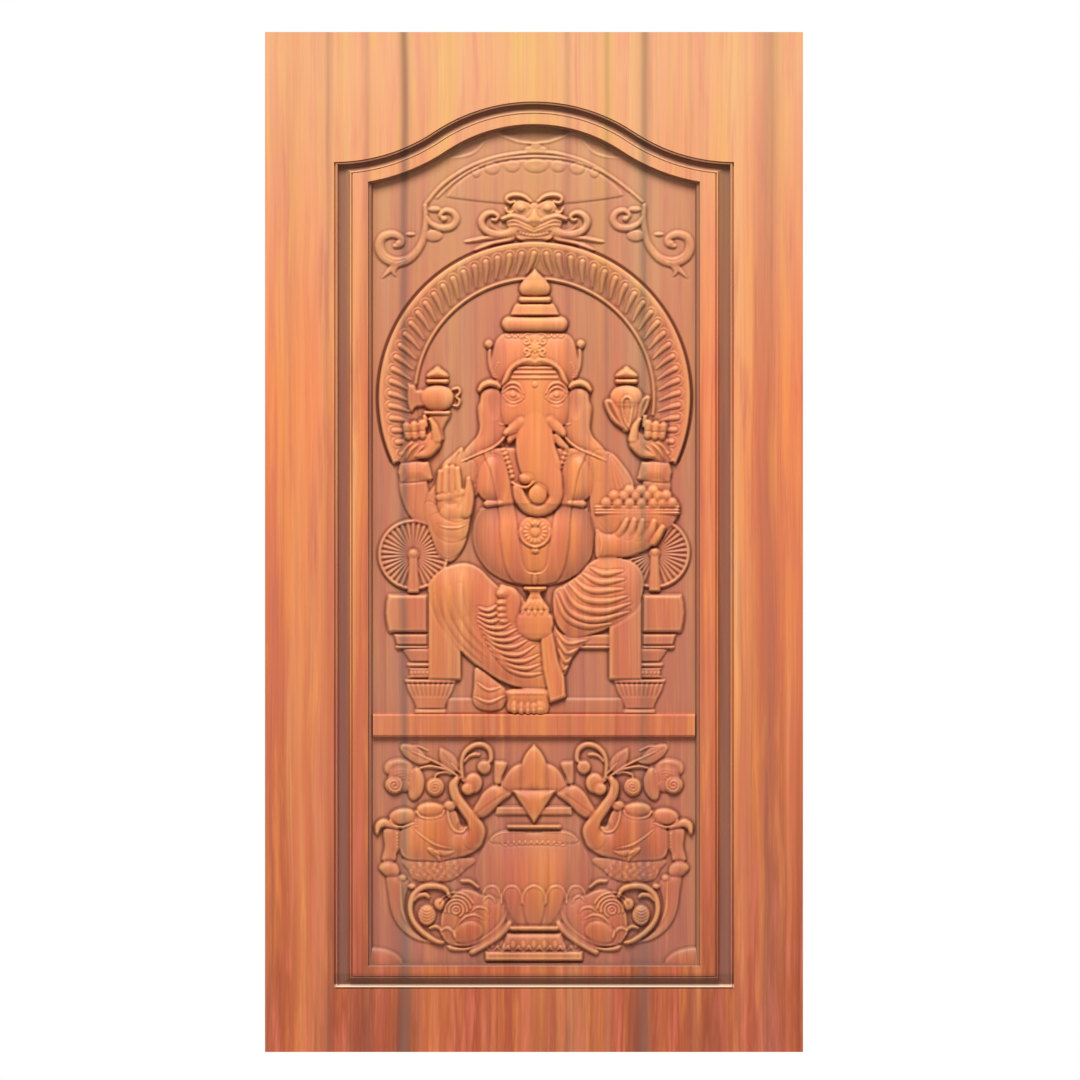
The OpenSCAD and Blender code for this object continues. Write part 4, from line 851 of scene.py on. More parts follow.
def carve_upper(r):
    """Everything on the tall panel, from the back to the front."""
    carve_crescent(r)
    carve_canopy(r)
    carve_mask(r)
    r.both(carve_top_scroll, r, axis=1.5)
    r.h *= UPPER_SHARE
    carve_halo(r)
    for at in ((-241.3, 994.2), (241.4, 997.6)):
        carve_wheel(r, at)
    carve_throne(r)
    r.both(carve_raised_arm, r, axis=2)
    carve_left_pot(r)
    carve_right_pot(r)
    r.both(carve_raised_hand, r, axis=2)
    carve_torso(r)
    carve_crown(r)
    carve_head(r)
    carve_lower_left_arm(r)
    carve_offering(r)
    carve_left_leg(r)
    carve_right_leg(r)
    carve_feet(r)
    carve_tassel(r)


def carve_vase_side(r):
    """Left half of the lotus above the vase and of the vase's petals."""
    r.mound([(-79.1, 536.4), (-79.8, 577), (-75.3, 581.5), (-58.7, 580.9), (-52.9, 576.4), (-56.1, 565.5),
        (-63.1, 550.1), (-65.1, 536.4)], 3, 5, moat=1, curve=0.5)
    r.mound([(-66.3, 522.6), (-59.3, 548.2), (-45.9, 566.8), (-31.1, 575.1), (-22.2, 571.3), (-22.8, 522.6)],
        5, 6, moat=1.1, curve=0.5)
    r.mound([(-82.3, 532.9), (-66.3, 530.3), (-50.3, 520.1), (-45.2, 514.9), (-66.3, 499.6), (-88.1, 477.8),
        (-108.6, 466.9), (-127.2, 469.5), (-132.9, 475.2), (-124, 483.6), (-113.1, 500.2), (-101.5, 518.8)],
        6, 7, moat=1.3, curve=0.6)
    r.line([(-63.1, 514.9), (-91.9, 494.4), (-120.1, 474)], 3, -1.2)
    for petal in (((-44.6, 331.5), (-58.7, 325.5), (-64.4, 310.7), (-58, 291.5), (-45.2, 272.3),
            (-29.2, 251.2), (-16.4, 251.8), (-22.2, 278.7), (-24.7, 310.7), (-31.1, 326.1)), ((-84.9, 331.5),
            (-96.4, 327.4), (-103.5, 312.7), (-91.9, 292.8), (-75.9, 278.7), (-50.3, 259.5), (-57.4, 285.1),
            (-65.1, 310.7), (-72.1, 325.5))):
        r.mound(petal, 0.5, 2, how="on", moat=0.9)
        top = petal[0]
        half = (petal[-2][0] - petal[2][0]) / 2
        r.ridge([(top[0] - half, top[1] - 34, 2.6), (top[0] - half * 0.96, top[1] - 18, 2.8),
            (top[0] - half * 0.6, top[1] - 4, 3), (top[0], top[1], 3.2), (top[0] + half * 0.6, top[1] - 4, 3),
            (top[0] + half * 0.96, top[1] - 18, 2.8), (top[0] + half, top[1] - 34, 2.6)], 2.4, 0.8)


def carve_vase(r):
    """Lotus vase on its foot and plinth."""
    r.plate(matched([(0.2, 201.3), (-97.7, 201.3), (-97.7, 182.1), (0.2, 182.1)]), 4, 6, edge=3, smooth=False)
    r.plate(matched([(0.2, 238.4), (-54.8, 238.4), (-67, 201.9), (0.2, 201.9)]),
        4, 6.5, edge=14, smooth=False)
    for k in range(-4, 5):
        r.spiral((k * 21, 211.5), 9.2, 9.2, 0.5, 180, 1, 2.4, 0, 2.6, how="on", moat=1)
        r.boss((k * 21, 214.1), 5, 8.5, 1.8, 0.6)
    r.mound(matched([(0.2, 440), (-66.3, 438.1), (-91.9, 420.2), (-109.9, 390.7), (-116.9, 358.7),
        (-108.6, 326.7), (-90, 294.7), (-66.3, 269.1), (-43.9, 248.6), (0.2, 246.7)]),
        0.5, 12, moat=0.2, curve=1.1)
    r.plate(matched([(0, 440), (-66, 440), (-87, 426), (-77, 418), (0, 416)]),
        0.2, 1.2, edge=4, how="on", moat=0.8)
    r.both(r.pleat, [(-77, 417), (-87, 425), (-66, 439), (-30, 441), (12, 441)], 3.2, 2.2, moat=0.8)
    r.limb([(-51, 450.6, 3.2), (51.4, 450.6, 3.2)], 6, 6, moat=1)
    for k in range(-5, 6):
        r.spiral((k * 11.5, 421.5 - 0.12 * k * k), 5.8, 5.8, 0.5, 180, 1, 1.9, 0, 2, how="on", moat=0.8)
    r.limb([(-44.6, 247.4, 4.2), (45, 247.4, 4.2)], 7, 7, moat=1)
    r.plate(matched([(0.2, 491.2), (-75.9, 491.2), (-77.2, 474), (0.2, 474)]), 3, 3, edge=6, smooth=False)
    r.both(carve_vase_side, r)
    r.mound(matched([(0.2, 331.9), (-15.1, 326.7), (-22.8, 310.7), (-19.6, 281.9), (-10, 251.2),
        (0.2, 250.6)]), 0.5, 2.2, how="on", moat=0.9)
    r.ridge([(-21.5, 294.7, 2.6), (-22.2, 312, 2.9), (-14.5, 326.1, 3.2), (0.2, 331.9, 3.2), (15, 326.1, 3.2),
        (22.6, 312, 2.9), (22, 294.7, 2.6)], 2.6, 0.8)
    r.mound(matched([(0.2, 614.8), (-15.1, 598.2), (-24.7, 576.4), (-26, 550.8), (-24.7, 522), (0.2, 522)]),
        7, 8, moat=1.4)
    r.plate(matched([(0.2, 523.3), (-43.3, 523.3), (-21.5, 490), (0.2, 457.3)]),
        9, 6.5, edge=22, smooth=False, moat=1.6)
    r.line([(0.2, 605.2), (0.2, 528.4)], 4, 1)


def carve_elephant(r):
    """Standing elephant with saddle rolls, on a tufted cushion, left of the vase."""
    r.mound([(-257.1, 387.5), (-122.7, 387.5), (-140, 361.9), (-165.6, 343.4), (-204, 338.3), (-239.2, 344),
        (-250.7, 361.9)], 1.5, 4.6, moat=0.9, curve=0.5)
    tufts = 40
    for k in range(tufts):
        spread = math.sqrt(k / tufts)
        at = (-194.4 + 54 * spread * math.cos(2.4 * k), 361.9 + 20 * spread * math.sin(2.4 * k))
        r.boss(at, 6.5, 5, 1, 0.35, 40 * k)
    r.mound([(-300, 446.4), (-268.6, 446.4), (-267.3, 410), (-274.4, 397.1), (-278.2, 382.4), (-303.8, 382.4),
        (-299.3, 410)], 3.5, 6.5, moat=1.1, curve=0.5)
    r.beads([(-273.1, 438.8), (-272.5, 406.8)], 3, 6.4, 1.8)
    r.line([(-280.1, 442), (-280.8, 400.3)], 2.4, -1.4)
    r.mound([(-264.1, 448.4), (-242.4, 474), (-220, 493.2), (-197.6, 496.4), (-175.2, 492.5), (-156, 481.6),
        (-143.2, 451.6), (-124, 459.6), (-104.7, 454.1), (-99, 434.9), (-109.2, 409.3), (-135.5, 393.3),
        (-164.3, 387.5), (-188, 381.8), (-213.6, 382.4), (-252, 385), (-266.7, 397.8), (-268, 426)],
        5, 11, moat=1.6, curve=0.65)
    r.swell((-140, 416.4), 34, 24, 2.6, 20)
    r.limb([(-122, 426, 21.1, -4), (-114.3, 443.2, 17.3, -1), (-124, 465.6, 12.2, 0),
        (-141.2, 489.3, 10.9, 0), (-156, 510.5, 10.6, 0), (-161.1, 531.6, 9.6, 0), (-155.3, 544.4, 6.4, 0)],
        9.5, 8, moat=1.4)
    r.ridge([(-173.2, 484.8, 2.9), (-168.8, 461.2, 3.2), (-158.5, 443.2, 3.5), (-143.2, 440, 3.2),
        (-135.5, 448.4, 2.2)], 2.6, 1.4)
    r.swell((-147.6, 452.8), 9, 11, -3, -30)
    r.pleat([(-242.4, 446.4), (-220, 428.5), (-194.4, 413.2), (-162.4, 406.1)], 2.8, 2.4, moat=1)
    r.beads([(-236, 448.4), (-237.9, 467.6)], 2.6, 5.6, 1.6)
    r.leaf([(-210.4, 406.1), (-194.4, 394.6), (-186.7, 378.6)], 12, 0.8, 3, how="on")
    r.leaf([(-197.6, 400.3), (-175.2, 396.5), (-156, 402.3)], 10, 0.5, 2.4, how="on")
    r.dome((-168.1, 492.5), 13, 10, 8, 6)
    r.dome((-207.2, 484.2), 28, 15.5, 8, 8.5, curve=0.6)
    r.limb([(-236.6, 481, 2.2), (-226.4, 470.1, 2.6), (-207.2, 466.3, 2.6), (-186, 471.4, 2.6),
        (-179, 482.3, 1.9)], 9, 5.6, moat=0.8)
    r.dome((-263.2, 470.8), 27, 17, 6, 8, turn=8, curve=0.6)
    r.limb([(-287.8, 463.7, 2.2), (-278.9, 452.8, 2.6), (-261.6, 450, 2.6), (-241.7, 456.7, 2.2)],
        7, 5.4, moat=0.8)
    r.limb([(-314.1, 439.4, 4.5), (-310.9, 452.2, 7.4), (-300, 458.3, 8.6), (-287.8, 454.1, 6.4),
        (-273.7, 449.6, 3.8)], 5, 7, moat=1.1)


def carve_bouquet(r):
    """Flowers and leaves held up by the elephant's trunk."""
    r.leaf([(-260.2, 608.1), (-240.7, 595.7), (-221.2, 583.4), (-203, 582.7)], 30, 2, 3.6, moat=1.2)
    r.limb([(-260.2, 608.1, 1.6), (-234.2, 611.3, 1.6), (-211.4, 602.2, 1.3)], 2, 3, moat=0.6)
    r.leaf([(-158.1, 567.8), (-165.9, 576.2), (-178.9, 592.5), (-188, 608.1)], 30, 2, 4, moat=1.2)
    r.limb([(-244, 600.3, 1.3), (-208.2, 584.7, 2), (-172.4, 565.8, 2.3), (-139.9, 541.8, 2.6)],
        4, 4, moat=0.8)
    r.limb([(-227.1, 567.8, 2), (-208.2, 571, 2.3), (-178.9, 565.2, 2.6), (-149.7, 549.6, 2.6),
        (-136.7, 536.5, 2.3)], 4, 4, moat=0.8)
    r.limb([(-165.9, 576.2, 1.6), (-152.9, 563.2, 2.3), (-136.7, 543.1, 2.3)], 4, 4, moat=0.8)
    r.limb([(-143.2, 549.6, 3.9), (-145.1, 576.2, 4.2), (-138.6, 597.7, 4.9), (-122.4, 612, 5.2),
        (-103.5, 614.6, 5.5), (-89.2, 604.2, 5.5), (-85.9, 586, 4.9), (-91.1, 578.8, 3.9)], 3.5, 5, moat=1.4)
    r.limb([(-138.6, 580.8, 2), (-130.8, 590.5, 2.9), (-119.1, 595.1, 3.6), (-110, 594.4, 2.9)], 3, 4)
    r.dome((-99.6, 569.7), 14, 13.5, 5, 6)
    for k in (-1, 0, 1):
        r.line([(-99.6, 582.1), (-100 + 5 * k, 571), (-100 + 7 * k, 562)], 1.6, -1)
    r.dome((-121.1, 537.8), 18, 20, 6, 6.5)
    r.dome((-132.1, 526.1), 14, 12, 8, 6.5)
    r.plate([(-300.5, 566.5), (-292.7, 580.8), (-273.2, 586.6), (-253.7, 583.4), (-240.7, 569.7),
        (-240.7, 556.7), (-289.5, 553.5)], 2.5, 4, edge=10)
    r.plate([(-290.8, 556.7), (-281, 569.1), (-262.2, 573), (-243.3, 567.8), (-234.2, 556.7), (-240.7, 527.4),
        (-266.7, 520.9), (-289.5, 533.9)], 4, 4.6, edge=14)
    for k in range(4):
        r.line([(-290 + 3 * k, 553 - 5 * k), (-262 + 2 * k, 562 - 6 * k), (-240, 552 - 8 * k)], 1.8, -1.2)
    r.plate([(-237.5, 569.1), (-227.1, 564.5), (-218.6, 543.1), (-221.8, 520.9), (-234.2, 505.3),
        (-246.6, 504.7), (-251.8, 517.7), (-250.5, 540.4), (-245.3, 558)], 5, 5.6, edge=16, moat=1.4)
    r.dome((-279.1, 533.9), 19, 17, 6, 5)
    r.spiral((-279.1, 533.3), 15, 2, 2, 60, -1, 2.6, 0, 2.2, how="on", moat=1)
    r.limb([(-199.7, 545, 2), (-193.9, 555.4, 2.3), (-178.9, 559.3, 2.3), (-165.9, 555.4, 2)], 3, 3.6)
    r.dome((-197.8, 530), 18.5, 18.5, 4, 6.5)
    r.spiral((-197.8, 528.7), 14, 2, 2.2, 90, 1, 2.4, 0, 1.8, how="on", moat=0.9)


def carve_low_scroll(r):
    """Acanthus stem, scroll and ringed rose below the elephant, left hand."""
    r.mound([(-294.2, 353.6), (-269.9, 354.9), (-252, 342.1), (-251.3, 329.9), (-257.1, 307.5),
        (-256.5, 278.7), (-248.1, 249.9), (-220, 227.5), (-186, 219.2), (-220, 219.8), (-246.9, 230.1),
        (-271.8, 252.5), (-285.9, 281.9), (-291.7, 317.1)], 2, 6.5, moat=1.1, curve=0.5)
    r.pleat([(-267.3, 349.1), (-266.1, 313.9), (-262.2, 278.7), (-242.4, 241)], 3.4, 1.8, moat=1)
    r.mound([(-310.9, 367.1), (-303.8, 378.6), (-287.2, 382.1), (-273.1, 374.1), (-268.6, 359.4),
        (-275, 351.1), (-293.6, 351.7), (-303.2, 358.1)], 4, 7.5, moat=1.2)
    r.dome((-262.9, 347.9), 8, 7, 4, 5)
    r.dome((-243.7, 331.2), 8.5, 6, 3, 5)
    r.limb([(-169.4, 312, 3.8), (-177.7, 326.1, 5.4), (-200.1, 332.5, 6.1), (-222.5, 329.3, 6.4),
        (-241.1, 313.3, 6.4), (-247.8, 288.3, 6.1), (-241.7, 262.7, 5.8), (-223.2, 240.3, 5.8),
        (-197.6, 223, 4.8), (-181.6, 218.6, 2.9)], 4, 7.5, moat=1.3)
    r.limb([(-240.5, 302.4, 2.6), (-232.1, 312, 4.5), (-218.7, 315.2, 4.8), (-210.4, 310.1, 3.2)],
        4, 5.6, moat=0.9)
    r.limb([(-208.4, 248, 2.6), (-197.6, 251.2, 3.8), (-188, 246.1, 3.8), (-184.1, 235.8, 2.6)],
        3, 5, moat=0.9)
    bud = (-214.2, 273.9)
    r.dome(bud, 18.6, 21, 4, 8.5, curve=0.6)
    for k in range(-2, 3):
        r.pleat([(bud[0] - 15, bud[1] + 6.4 * k + 4), (bud[0], bud[1] + 6.4 * k - 4),
            (bud[0] + 15, bud[1] + 6.4 * k + 5)], 2.6, 1.6, moat=0.8)
    r.dome((-188.9, 296.3), 11.5, 12, 5, 7.4)
    r.limb([(-145.1, 342.1, 2.9), (-127.2, 340.8, 3.8), (-111.8, 329.3, 2.6)], 3, 5)
    r.mound([(-186.4, 239.7), (-184.1, 278.7), (-168.8, 304.3), (-148, 323.5), (-124, 323.5), (-100.9, 312.7),
        (-75.9, 308.2), (-58, 298.6), (-55.5, 278.1), (-65.7, 252.5), (-88.1, 230.1), (-117.6, 214.1),
        (-149.6, 211.5), (-173.6, 217.3)], 4, 9, moat=1.3, curve=0.55)
    middle = (-156, 283.5)
    for radius, first, last in ((7.4, -150, 190), (14.6, -60, 200), (22, -10, 190), (29.6, 8, 178),
            (37.4, 24, 150)):
        bend = np.radians(np.linspace(first, last, 16))
        r.limb([(middle[0] + radius * math.cos(a), middle[1] + radius * 0.94 * math.sin(a),
            2.7) for a in bend], 0, 3, how="on", moat=1.2)
    r.dome(middle, 3.6, 3.6, 0, 3, how="on")
    r.dome((-131.6, 238.4), 31, 22, 0.4, 4, how="on", moat=1.3, turn=15)
    r.pleat([(-156, 248.6), (-140, 268.5), (-118.8, 274.2), (-98.3, 264.6)], 3.4, 3, moat=1.2)
    r.pleat([(-128.4, 278.1), (-114.3, 289), (-97.7, 287), (-90, 276.8)], 3.2, 2.8, moat=1.2)
    r.pleat([(-102.2, 299.8), (-93.9, 311.4), (-81.7, 307.5), (-76.6, 296.6)], 3.2, 2.8, moat=1.2)
    r.ridge([(-186, 242.9, 2.9), (-175.2, 248, 3.8), (-163.6, 241.6, 3.8), (-158.5, 229.4, 2.9)], 2.8, 1)
    r.pleat([(-59.9, 294.7), (-66.3, 259.5), (-91.9, 232.6), (-127.2, 215.3), (-168.8, 214.7)],
        3.4, 2.2, moat=1.2)
    r.mound([(-173.6, 214.1), (-140, 208.3), (-104.7, 221.8), (-72.7, 253.1), (-56.1, 285.1), (-54.2, 272.3),
        (-65.1, 243.5), (-91.9, 219.2), (-127.2, 204.5), (-165.6, 203.2)], 3.5, 5, moat=1)
    r.mound([(-129.1, 202.5), (-98.3, 221.1), (-72.7, 241.6), (-51.6, 262.7), (-43.9, 260.2), (-45.2, 248.6),
        (-65.1, 228.8), (-91.9, 210.9), (-122, 194.9)], 4, 5.4, moat=1.1)


def carve_corner(r):
    """Quarter disc in the panel's lower corner."""
    r.dome((-326, 175), 65, 35, 2, 7.5, curve=0.7, moat=1.6)


def carve_lower(r):
    """Everything on the small panel."""
    carve_vase(r)
    for carve in (carve_bouquet, carve_elephant, carve_low_scroll, carve_corner):
        r.both(carve, r)


def ogee_low(x, inset):
    """Height of the ogee line at x, drawn inset below the rail's own edge."""
    x = np.abs(x)
    turn = math.asin(OPEN_HALF / 2 / OGEE_R)
    crown_r = OGEE_R - inset
    flank_r = OGEE_R + inset
    crown = CROWN_Z - OGEE_R + np.sqrt(np.maximum(crown_r ** 2 - x ** 2, 0))
    flank = SPRING_Z + OGEE_R - np.sqrt(np.maximum(flank_r ** 2 - (OPEN_HALF - x) ** 2, 0))
    return np.where(x < crown_r * math.sin(turn), crown, flank)


def active(name, material):
    """The object just added, named and given its material."""
    piece = bpy.context.object
    piece.name = name
    piece.data.materials.append(material)
    return piece


def new_grid(name, across, up, material):
    """A flat grid of so many cells, from -1 to 1 each way."""
    bpy.ops.object.select_all(action="DESELECT")
    bpy.ops.mesh.primitive_grid_add(x_subdivisions=across, y_subdivisions=up, size=2)
    return active(name, material)


def relief_tile(name, field, heights, rows, top, material):
    """Some rows of a carved field as a mesh, drawn down to the ground along its top line."""
    x = field.x
    z = field.z[rows]
    h = heights[rows]
    piece = new_grid(name, len(x) - 1, len(z) - 1, material)
    mesh = piece.data
    co = np.empty(len(mesh.vertices) * 3)
    mesh.vertices.foreach_get("co", co)
    co = co.reshape(-1, 3)
    i = np.rint((co[:, 0] + 1) / 2 * (len(x) - 1)).astype(int)
    j = np.rint((co[:, 1] + 1) / 2 * (len(z) - 1)).astype(int)
    place = np.column_stack([x[i], GROUND_Y - h[j, i], z[j]])
    limit = top(place[:, 0])
    over = place[:, 2] > limit
    place[over, 2] = limit[over]
    place[over, 1] = GROUND_Y
    mesh.vertices.foreach_set("co", (place * MM).ravel())
    for word, share in field.shades(heights).items():
        layer = mesh.attributes.new(word, "FLOAT", "POINT")
        layer.data.foreach_set("value", share[rows][j, i])
    bpy.ops.object.mode_set(mode="EDIT")
    bpy.ops.mesh.select_all(action="SELECT")
    bpy.ops.mesh.remove_doubles(threshold=WELD)
    bpy.ops.mesh.dissolve_degenerate(threshold=SLIVER)
    bpy.ops.mesh.normals_make_consistent(inside=False)
    bpy.ops.object.mode_set(mode="OBJECT")
    bpy.ops.object.shade_smooth()
    return piece


def board(name, low, top, material):
    """Plain board behind a carved field, with its tongue, from its front to its back."""
    piece = new_grid(name, BOARD_STEPS, 1, material)
    for vertex in piece.data.vertices:
        x = vertex.co.x * BOARD_HALF
        z = low if vertex.co.y < 0 else float(top(np.array(x)))
        vertex.co = (x * MM, BOARD_FRONT * MM, z * MM)
    bpy.ops.object.mode_set(mode="EDIT")
    bpy.ops.mesh.select_all(action="SELECT")
    deep = (BOARD_BACK - BOARD_FRONT) * MM
    bpy.ops.mesh.extrude_region_move(TRANSFORM_OT_translate={"value": (0, deep, 0)})
    bpy.ops.mesh.select_all(action="SELECT")
    bpy.ops.mesh.normals_make_consistent(inside=False)
    bpy.ops.object.mode_set(mode="OBJECT")
    return piece


def linear(r, g, b):
    """Colour written as display values from 0 to 255, as the shader wants it."""
    def one(v):
        v /= 255
        return v / 12.92 if v <= 0.04045 else ((v + 0.055) / 1.055) ** 2.4
    return (one(r), one(g), one(b), 1.0)


class Wire:
    """A shader socket that can be reckoned with."""

    def __init__(self, socket):
        self.socket = socket
        self.tree = socket.id_data

    def add(self, kind, inputs, output=0, **settings):
        """Adds a node of any kind, with its inputs by index or name, and gives one output."""
        node = self.tree.nodes.new(kind)
        for key, value in settings.items():
            setattr(node, key, value)
        for key, value in inputs.items():
            if isinstance(value, Wire):
                self.tree.links.new(value.socket, node.inputs[key])
            else:
                node.inputs[key].default_value = value
        return Wire(node.outputs[output])

    def math(self, operation, *values):
        return self.add("ShaderNodeMath", dict(enumerate(values)), operation=operation)

    def __add__(self, other):
        return self.math("ADD", self, other)

    def __radd__(self, other):
        return self.math("ADD", other, self)

    def __sub__(self, other):
        return self.math("SUBTRACT", self, other)

    def __rsub__(self, other):
        return self.math("SUBTRACT", other, self)

    def __mul__(self, other):
        return self.math("MULTIPLY", self, other)

    def __truediv__(self, other):
        return self.math("DIVIDE", self, other)

    def mixed(self, first, last):
        """A colour between two others, with this socket as the share of the last."""
        return self.add("ShaderNodeMix", {0: self, 6: first, 7: last}, output=2, data_type="RGBA")

    def ramp(self, low, high):
        """This value spread from 0 at low to 1 at high, and held there."""
        return self.add("ShaderNodeMapRange", {0: self, 1: low, 2: high, 3: 0.0, 4: 1.0})


def new_material(name):
    """An empty procedural material with its shader and object coordinates."""
    material = bpy.data.materials.new(name)
    material.use_nodes = True
    tree = material.node_tree
    shader = tree.nodes["Principled BSDF"]
    coords = tree.nodes.new("ShaderNodeTexCoord")
    return material, shader, Wire(coords.outputs["Object"])


TEAK_TOP = linear(255, 183, 135)
TEAK_MIDDLE = linear(247, 139, 92)
TEAK_FOOT = linear(146, 68, 40)
TEAK_PALE = linear(255, 206, 140)
TEAK_ROSE = linear(206, 110, 90)
TEAK_DARK = linear(104, 52, 34)
# Greyed colour for painted shade in recesses and in the moulding's profile.
TEAK_SHADE_GREY = linear(134, 108, 104)
TEAK_AMBER = linear(255, 164, 84)
TEAK_BLUSH = linear(246, 156, 126)
TEAK_GOLD = linear(255, 200, 120)
TEAK_SHADE = linear(88, 56, 42)
# Painted highlight on the moulding's up-facing bead and bottom bevel.
TEAK_HIGHLIGHT = linear(255, 226, 192)
SEAM_GREY = linear(120, 84, 72)
# Bands across the door: place and half width in metres, and strength.
SEAMS = ((-0.260, 0.009, 0.62), (0.220, 0.009, 0.50), (-0.412, 0.007, 0.22), (0.068, 0.007, 0.22),
         (0.146, 0.006, 0.28), (-0.334, 0.006, 0.22), (0.470, 0.020, 0.30))
GOLDEN = ((-0.200, 0.018, 0.30), (0.006, 0.028, 0.42), (0.135, 0.016, 0.25), (-0.470, 0.020, 0.25))
SMOKED = ((-0.262, 0.020, 0.95), (-0.344, 0.026, 0.50), (0.212, 0.022, 0.85), (0.02, 0.05, 0.30),
    (0.36, 0.03, 0.40))


def teak(name, roughness, painted_light_and_shade=False):
    """Oiled teak with upright grain, glue lines between staves and a redder foot, with painted shade in
    recesses and hollows and, on mouldings, painted highlight.
    """
    material, shader, at = new_material(name)
    split = at.tree.nodes.new("ShaderNodeSeparateXYZ")
    at.tree.links.new(at.socket, split.inputs[0])
    x, y, z = (Wire(socket) for socket in split.outputs)
    sway = at.add("ShaderNodeTexNoise", {"Vector": at, "Scale": 2.2, "Detail": 2.0})
    x_grain = x + (sway - 0.5) * 0.018

    def streaks(across, along, seed, detail):
        vector = at.add("ShaderNodeCombineXYZ", {0: x_grain * across + seed, 1: y * across * 0.3,
            2: z * along})
        return at.add("ShaderNodeTexNoise", {"Vector": vector, "Scale": 1.0, "Detail": detail,
            "Roughness": 0.6})

    fine = streaks(230.0, 3.0, 3.1, 4.0)
    medium = streaks(62.0, 0.9, 17.3, 3.0)
    broad = streaks(17.0, 0.5, 41.9, 2.0)
    rose = streaks(30.0, 0.8, 73.7, 2.0)
    # Shares that grow from the head to the middle and from there to the foot.
    down = z.ramp(1.98, 1.32)
    foot = z.ramp(1.30, 0.05)
    colour = foot.mixed(down.mixed(TEAK_TOP, TEAK_MIDDLE), TEAK_FOOT)
    amber = streaks(24.0, 0.7, 91.3, 2.0)
    flame = streaks(54.0, 4.0, 57.1, 3.0)
    pale = broad.ramp(0.50, 0.74) * 0.5 + medium.ramp(0.54, 0.78) * 0.4
    colour = (pale * (1.0 - foot * 0.7)).mixed(colour, TEAK_PALE)
    gold = down.mixed(TEAK_GOLD, TEAK_AMBER)
    blush = down.mixed(TEAK_BLUSH, TEAK_ROSE)
    colour = (amber.ramp(0.52, 0.72) * (0.6 - foot * 0.44)).mixed(colour, gold)
    colour = (rose.ramp(0.52, 0.74) * (0.62 - foot * 0.2)).mixed(colour, blush)
    colour = (flame.ramp(0.53, 0.70) * (0.5 - foot * 0.32)).mixed(colour, gold)
    colour = (flame.ramp(0.47, 0.30) * 0.5).mixed(colour, blush)
    dark = (fine.ramp(0.50, 0.85) * 0.26 + medium.ramp(0.46, 0.20) * (0.2 + foot * 0.4)) * (0.6 + down * 0.4)
    colour = dark.mixed(colour, TEAK_DARK)

    def staves(bands):
        total = 0.0
        for place, width, strength in bands:
            off = (x_grain - place) / width
            total = off.math("EXPONENT", off * off * -1.0) * strength + total
        return total

    colour = (staves(GOLDEN) * (1.0 - foot * 0.6)).mixed(colour, gold)
    colour = (staves(SMOKED) * z.ramp(0.42, 0.06)).mixed(colour, TEAK_DARK)
    colour = staves(SEAMS).mixed(colour, SEAM_GREY)
    depth = y.math("ABSOLUTE", y)
    # Painted shade: deeper surfaces, such as the panels' ground, greyer and darker.
    colour = (depth.ramp(0.017, 0.003) * (0.22 + down * 0.19 - foot * 0.10)).mixed(colour, TEAK_SHADE_GREY)
    # Painted shade in the carving's hollows, along the panels' sides and in the marked places, from the
    # hollow share; lighter colour on crests from the crest share.
    hollow = at.add("ShaderNodeAttribute", {}, output=2, attribute_name="hollow")
    crest = at.add("ShaderNodeAttribute", {}, output=2, attribute_name="crest")
    colour = (hollow * 0.52).math("MINIMUM", hollow * 0.52, 0.95).mixed(colour, TEAK_DARK)
    colour = (crest * 0.26).mixed(colour, TEAK_PALE)
    if painted_light_and_shade:
        # Painted shade in bands of the moulding's profile, by their depth from the door's middle plane, then
        # by height.
        colour = (depth.ramp(0.0185, 0.010) * 0.40).mixed(colour, TEAK_SHADE_GREY)
        colour = (depth.ramp(0.0198, 0.0176) * 0.26 + depth.ramp(0.0185, 0.010) * 0.20).mixed(colour,
            TEAK_SHADE)
        colour = (depth.ramp(0.0205, 0.0225) * 0.34).mixed(colour, TEAK_SHADE_GREY)
        colour = (depth.ramp(0.0196, 0.018) * depth.ramp(0.0163, 0.0174) * 0.40).mixed(colour, TEAK_SHADE)
        lit = at.tree.nodes.new("ShaderNodeNewGeometry").outputs["Normal"]
        rise = at.add("ShaderNodeSeparateXYZ", {0: Wire(lit)}, output=2)
        # Painted highlight on the outer bead's up-facing faces and on the bottom moulding's bevel.
        colour = (rise.ramp(0.25, 0.8) * depth.ramp(0.0175, 0.019) * 0.75).mixed(colour, TEAK_HIGHLIGHT)
        colour = (z.ramp(0.1275, 0.129) * z.ramp(0.1365, 0.134) * 0.58).mixed(colour, TEAK_HIGHLIGHT)
        # Painted shade in the bottom moulding's cove.
        colour = (z.ramp(0.135, 0.138) * z.ramp(0.160, 0.154) * 0.42).mixed(colour, TEAK_SHADE)
    at.tree.links.new(colour.socket, shader.inputs["Base Color"])
    rough = fine * 0.12 + (roughness - 0.06)
    at.tree.links.new(rough.socket, shader.inputs["Roughness"])
    bump = at.add("ShaderNodeBump", {"Height": fine, "Strength": 0.10, "Distance": 0.0006})
    at.tree.links.new(bump.socket, shader.inputs["Normal"])
    shader.inputs["Specular IOR Level"].default_value = 0.22
    return material


def metal(name, colour, roughness):
    """Hinge metal with faint brushing."""
    material, shader, at = new_material(name)
    brush = at.add("ShaderNodeTexNoise", {"Vector": at, "Scale": 160.0, "Detail": 3.0})
    at.tree.links.new((brush * 0.14 + (roughness - 0.07)).socket, shader.inputs["Roughness"])
    shader.inputs["Base Color"].default_value = colour
    shader.inputs["Metallic"].default_value = 1.0
    return material


def floor_material():
    """Pale matt studio floor."""
    material, shader, _ = new_material("studio_floor")
    shader.inputs["Base Color"].default_value = linear(238, 238, 236)
    shader.inputs["Roughness"].default_value = 0.9
    return material


frame_teak = teak("frame_teak", 0.46)
panel_teak = teak("panel_teak", 0.44)
moulding_teak = teak("moulding_teak", 0.42, painted_light_and_shade=True)
hinge_brass = metal("hinge_brass", linear(196, 158, 88), 0.34)
pin_steel = metal("pin_steel", linear(176, 178, 182), 0.30)

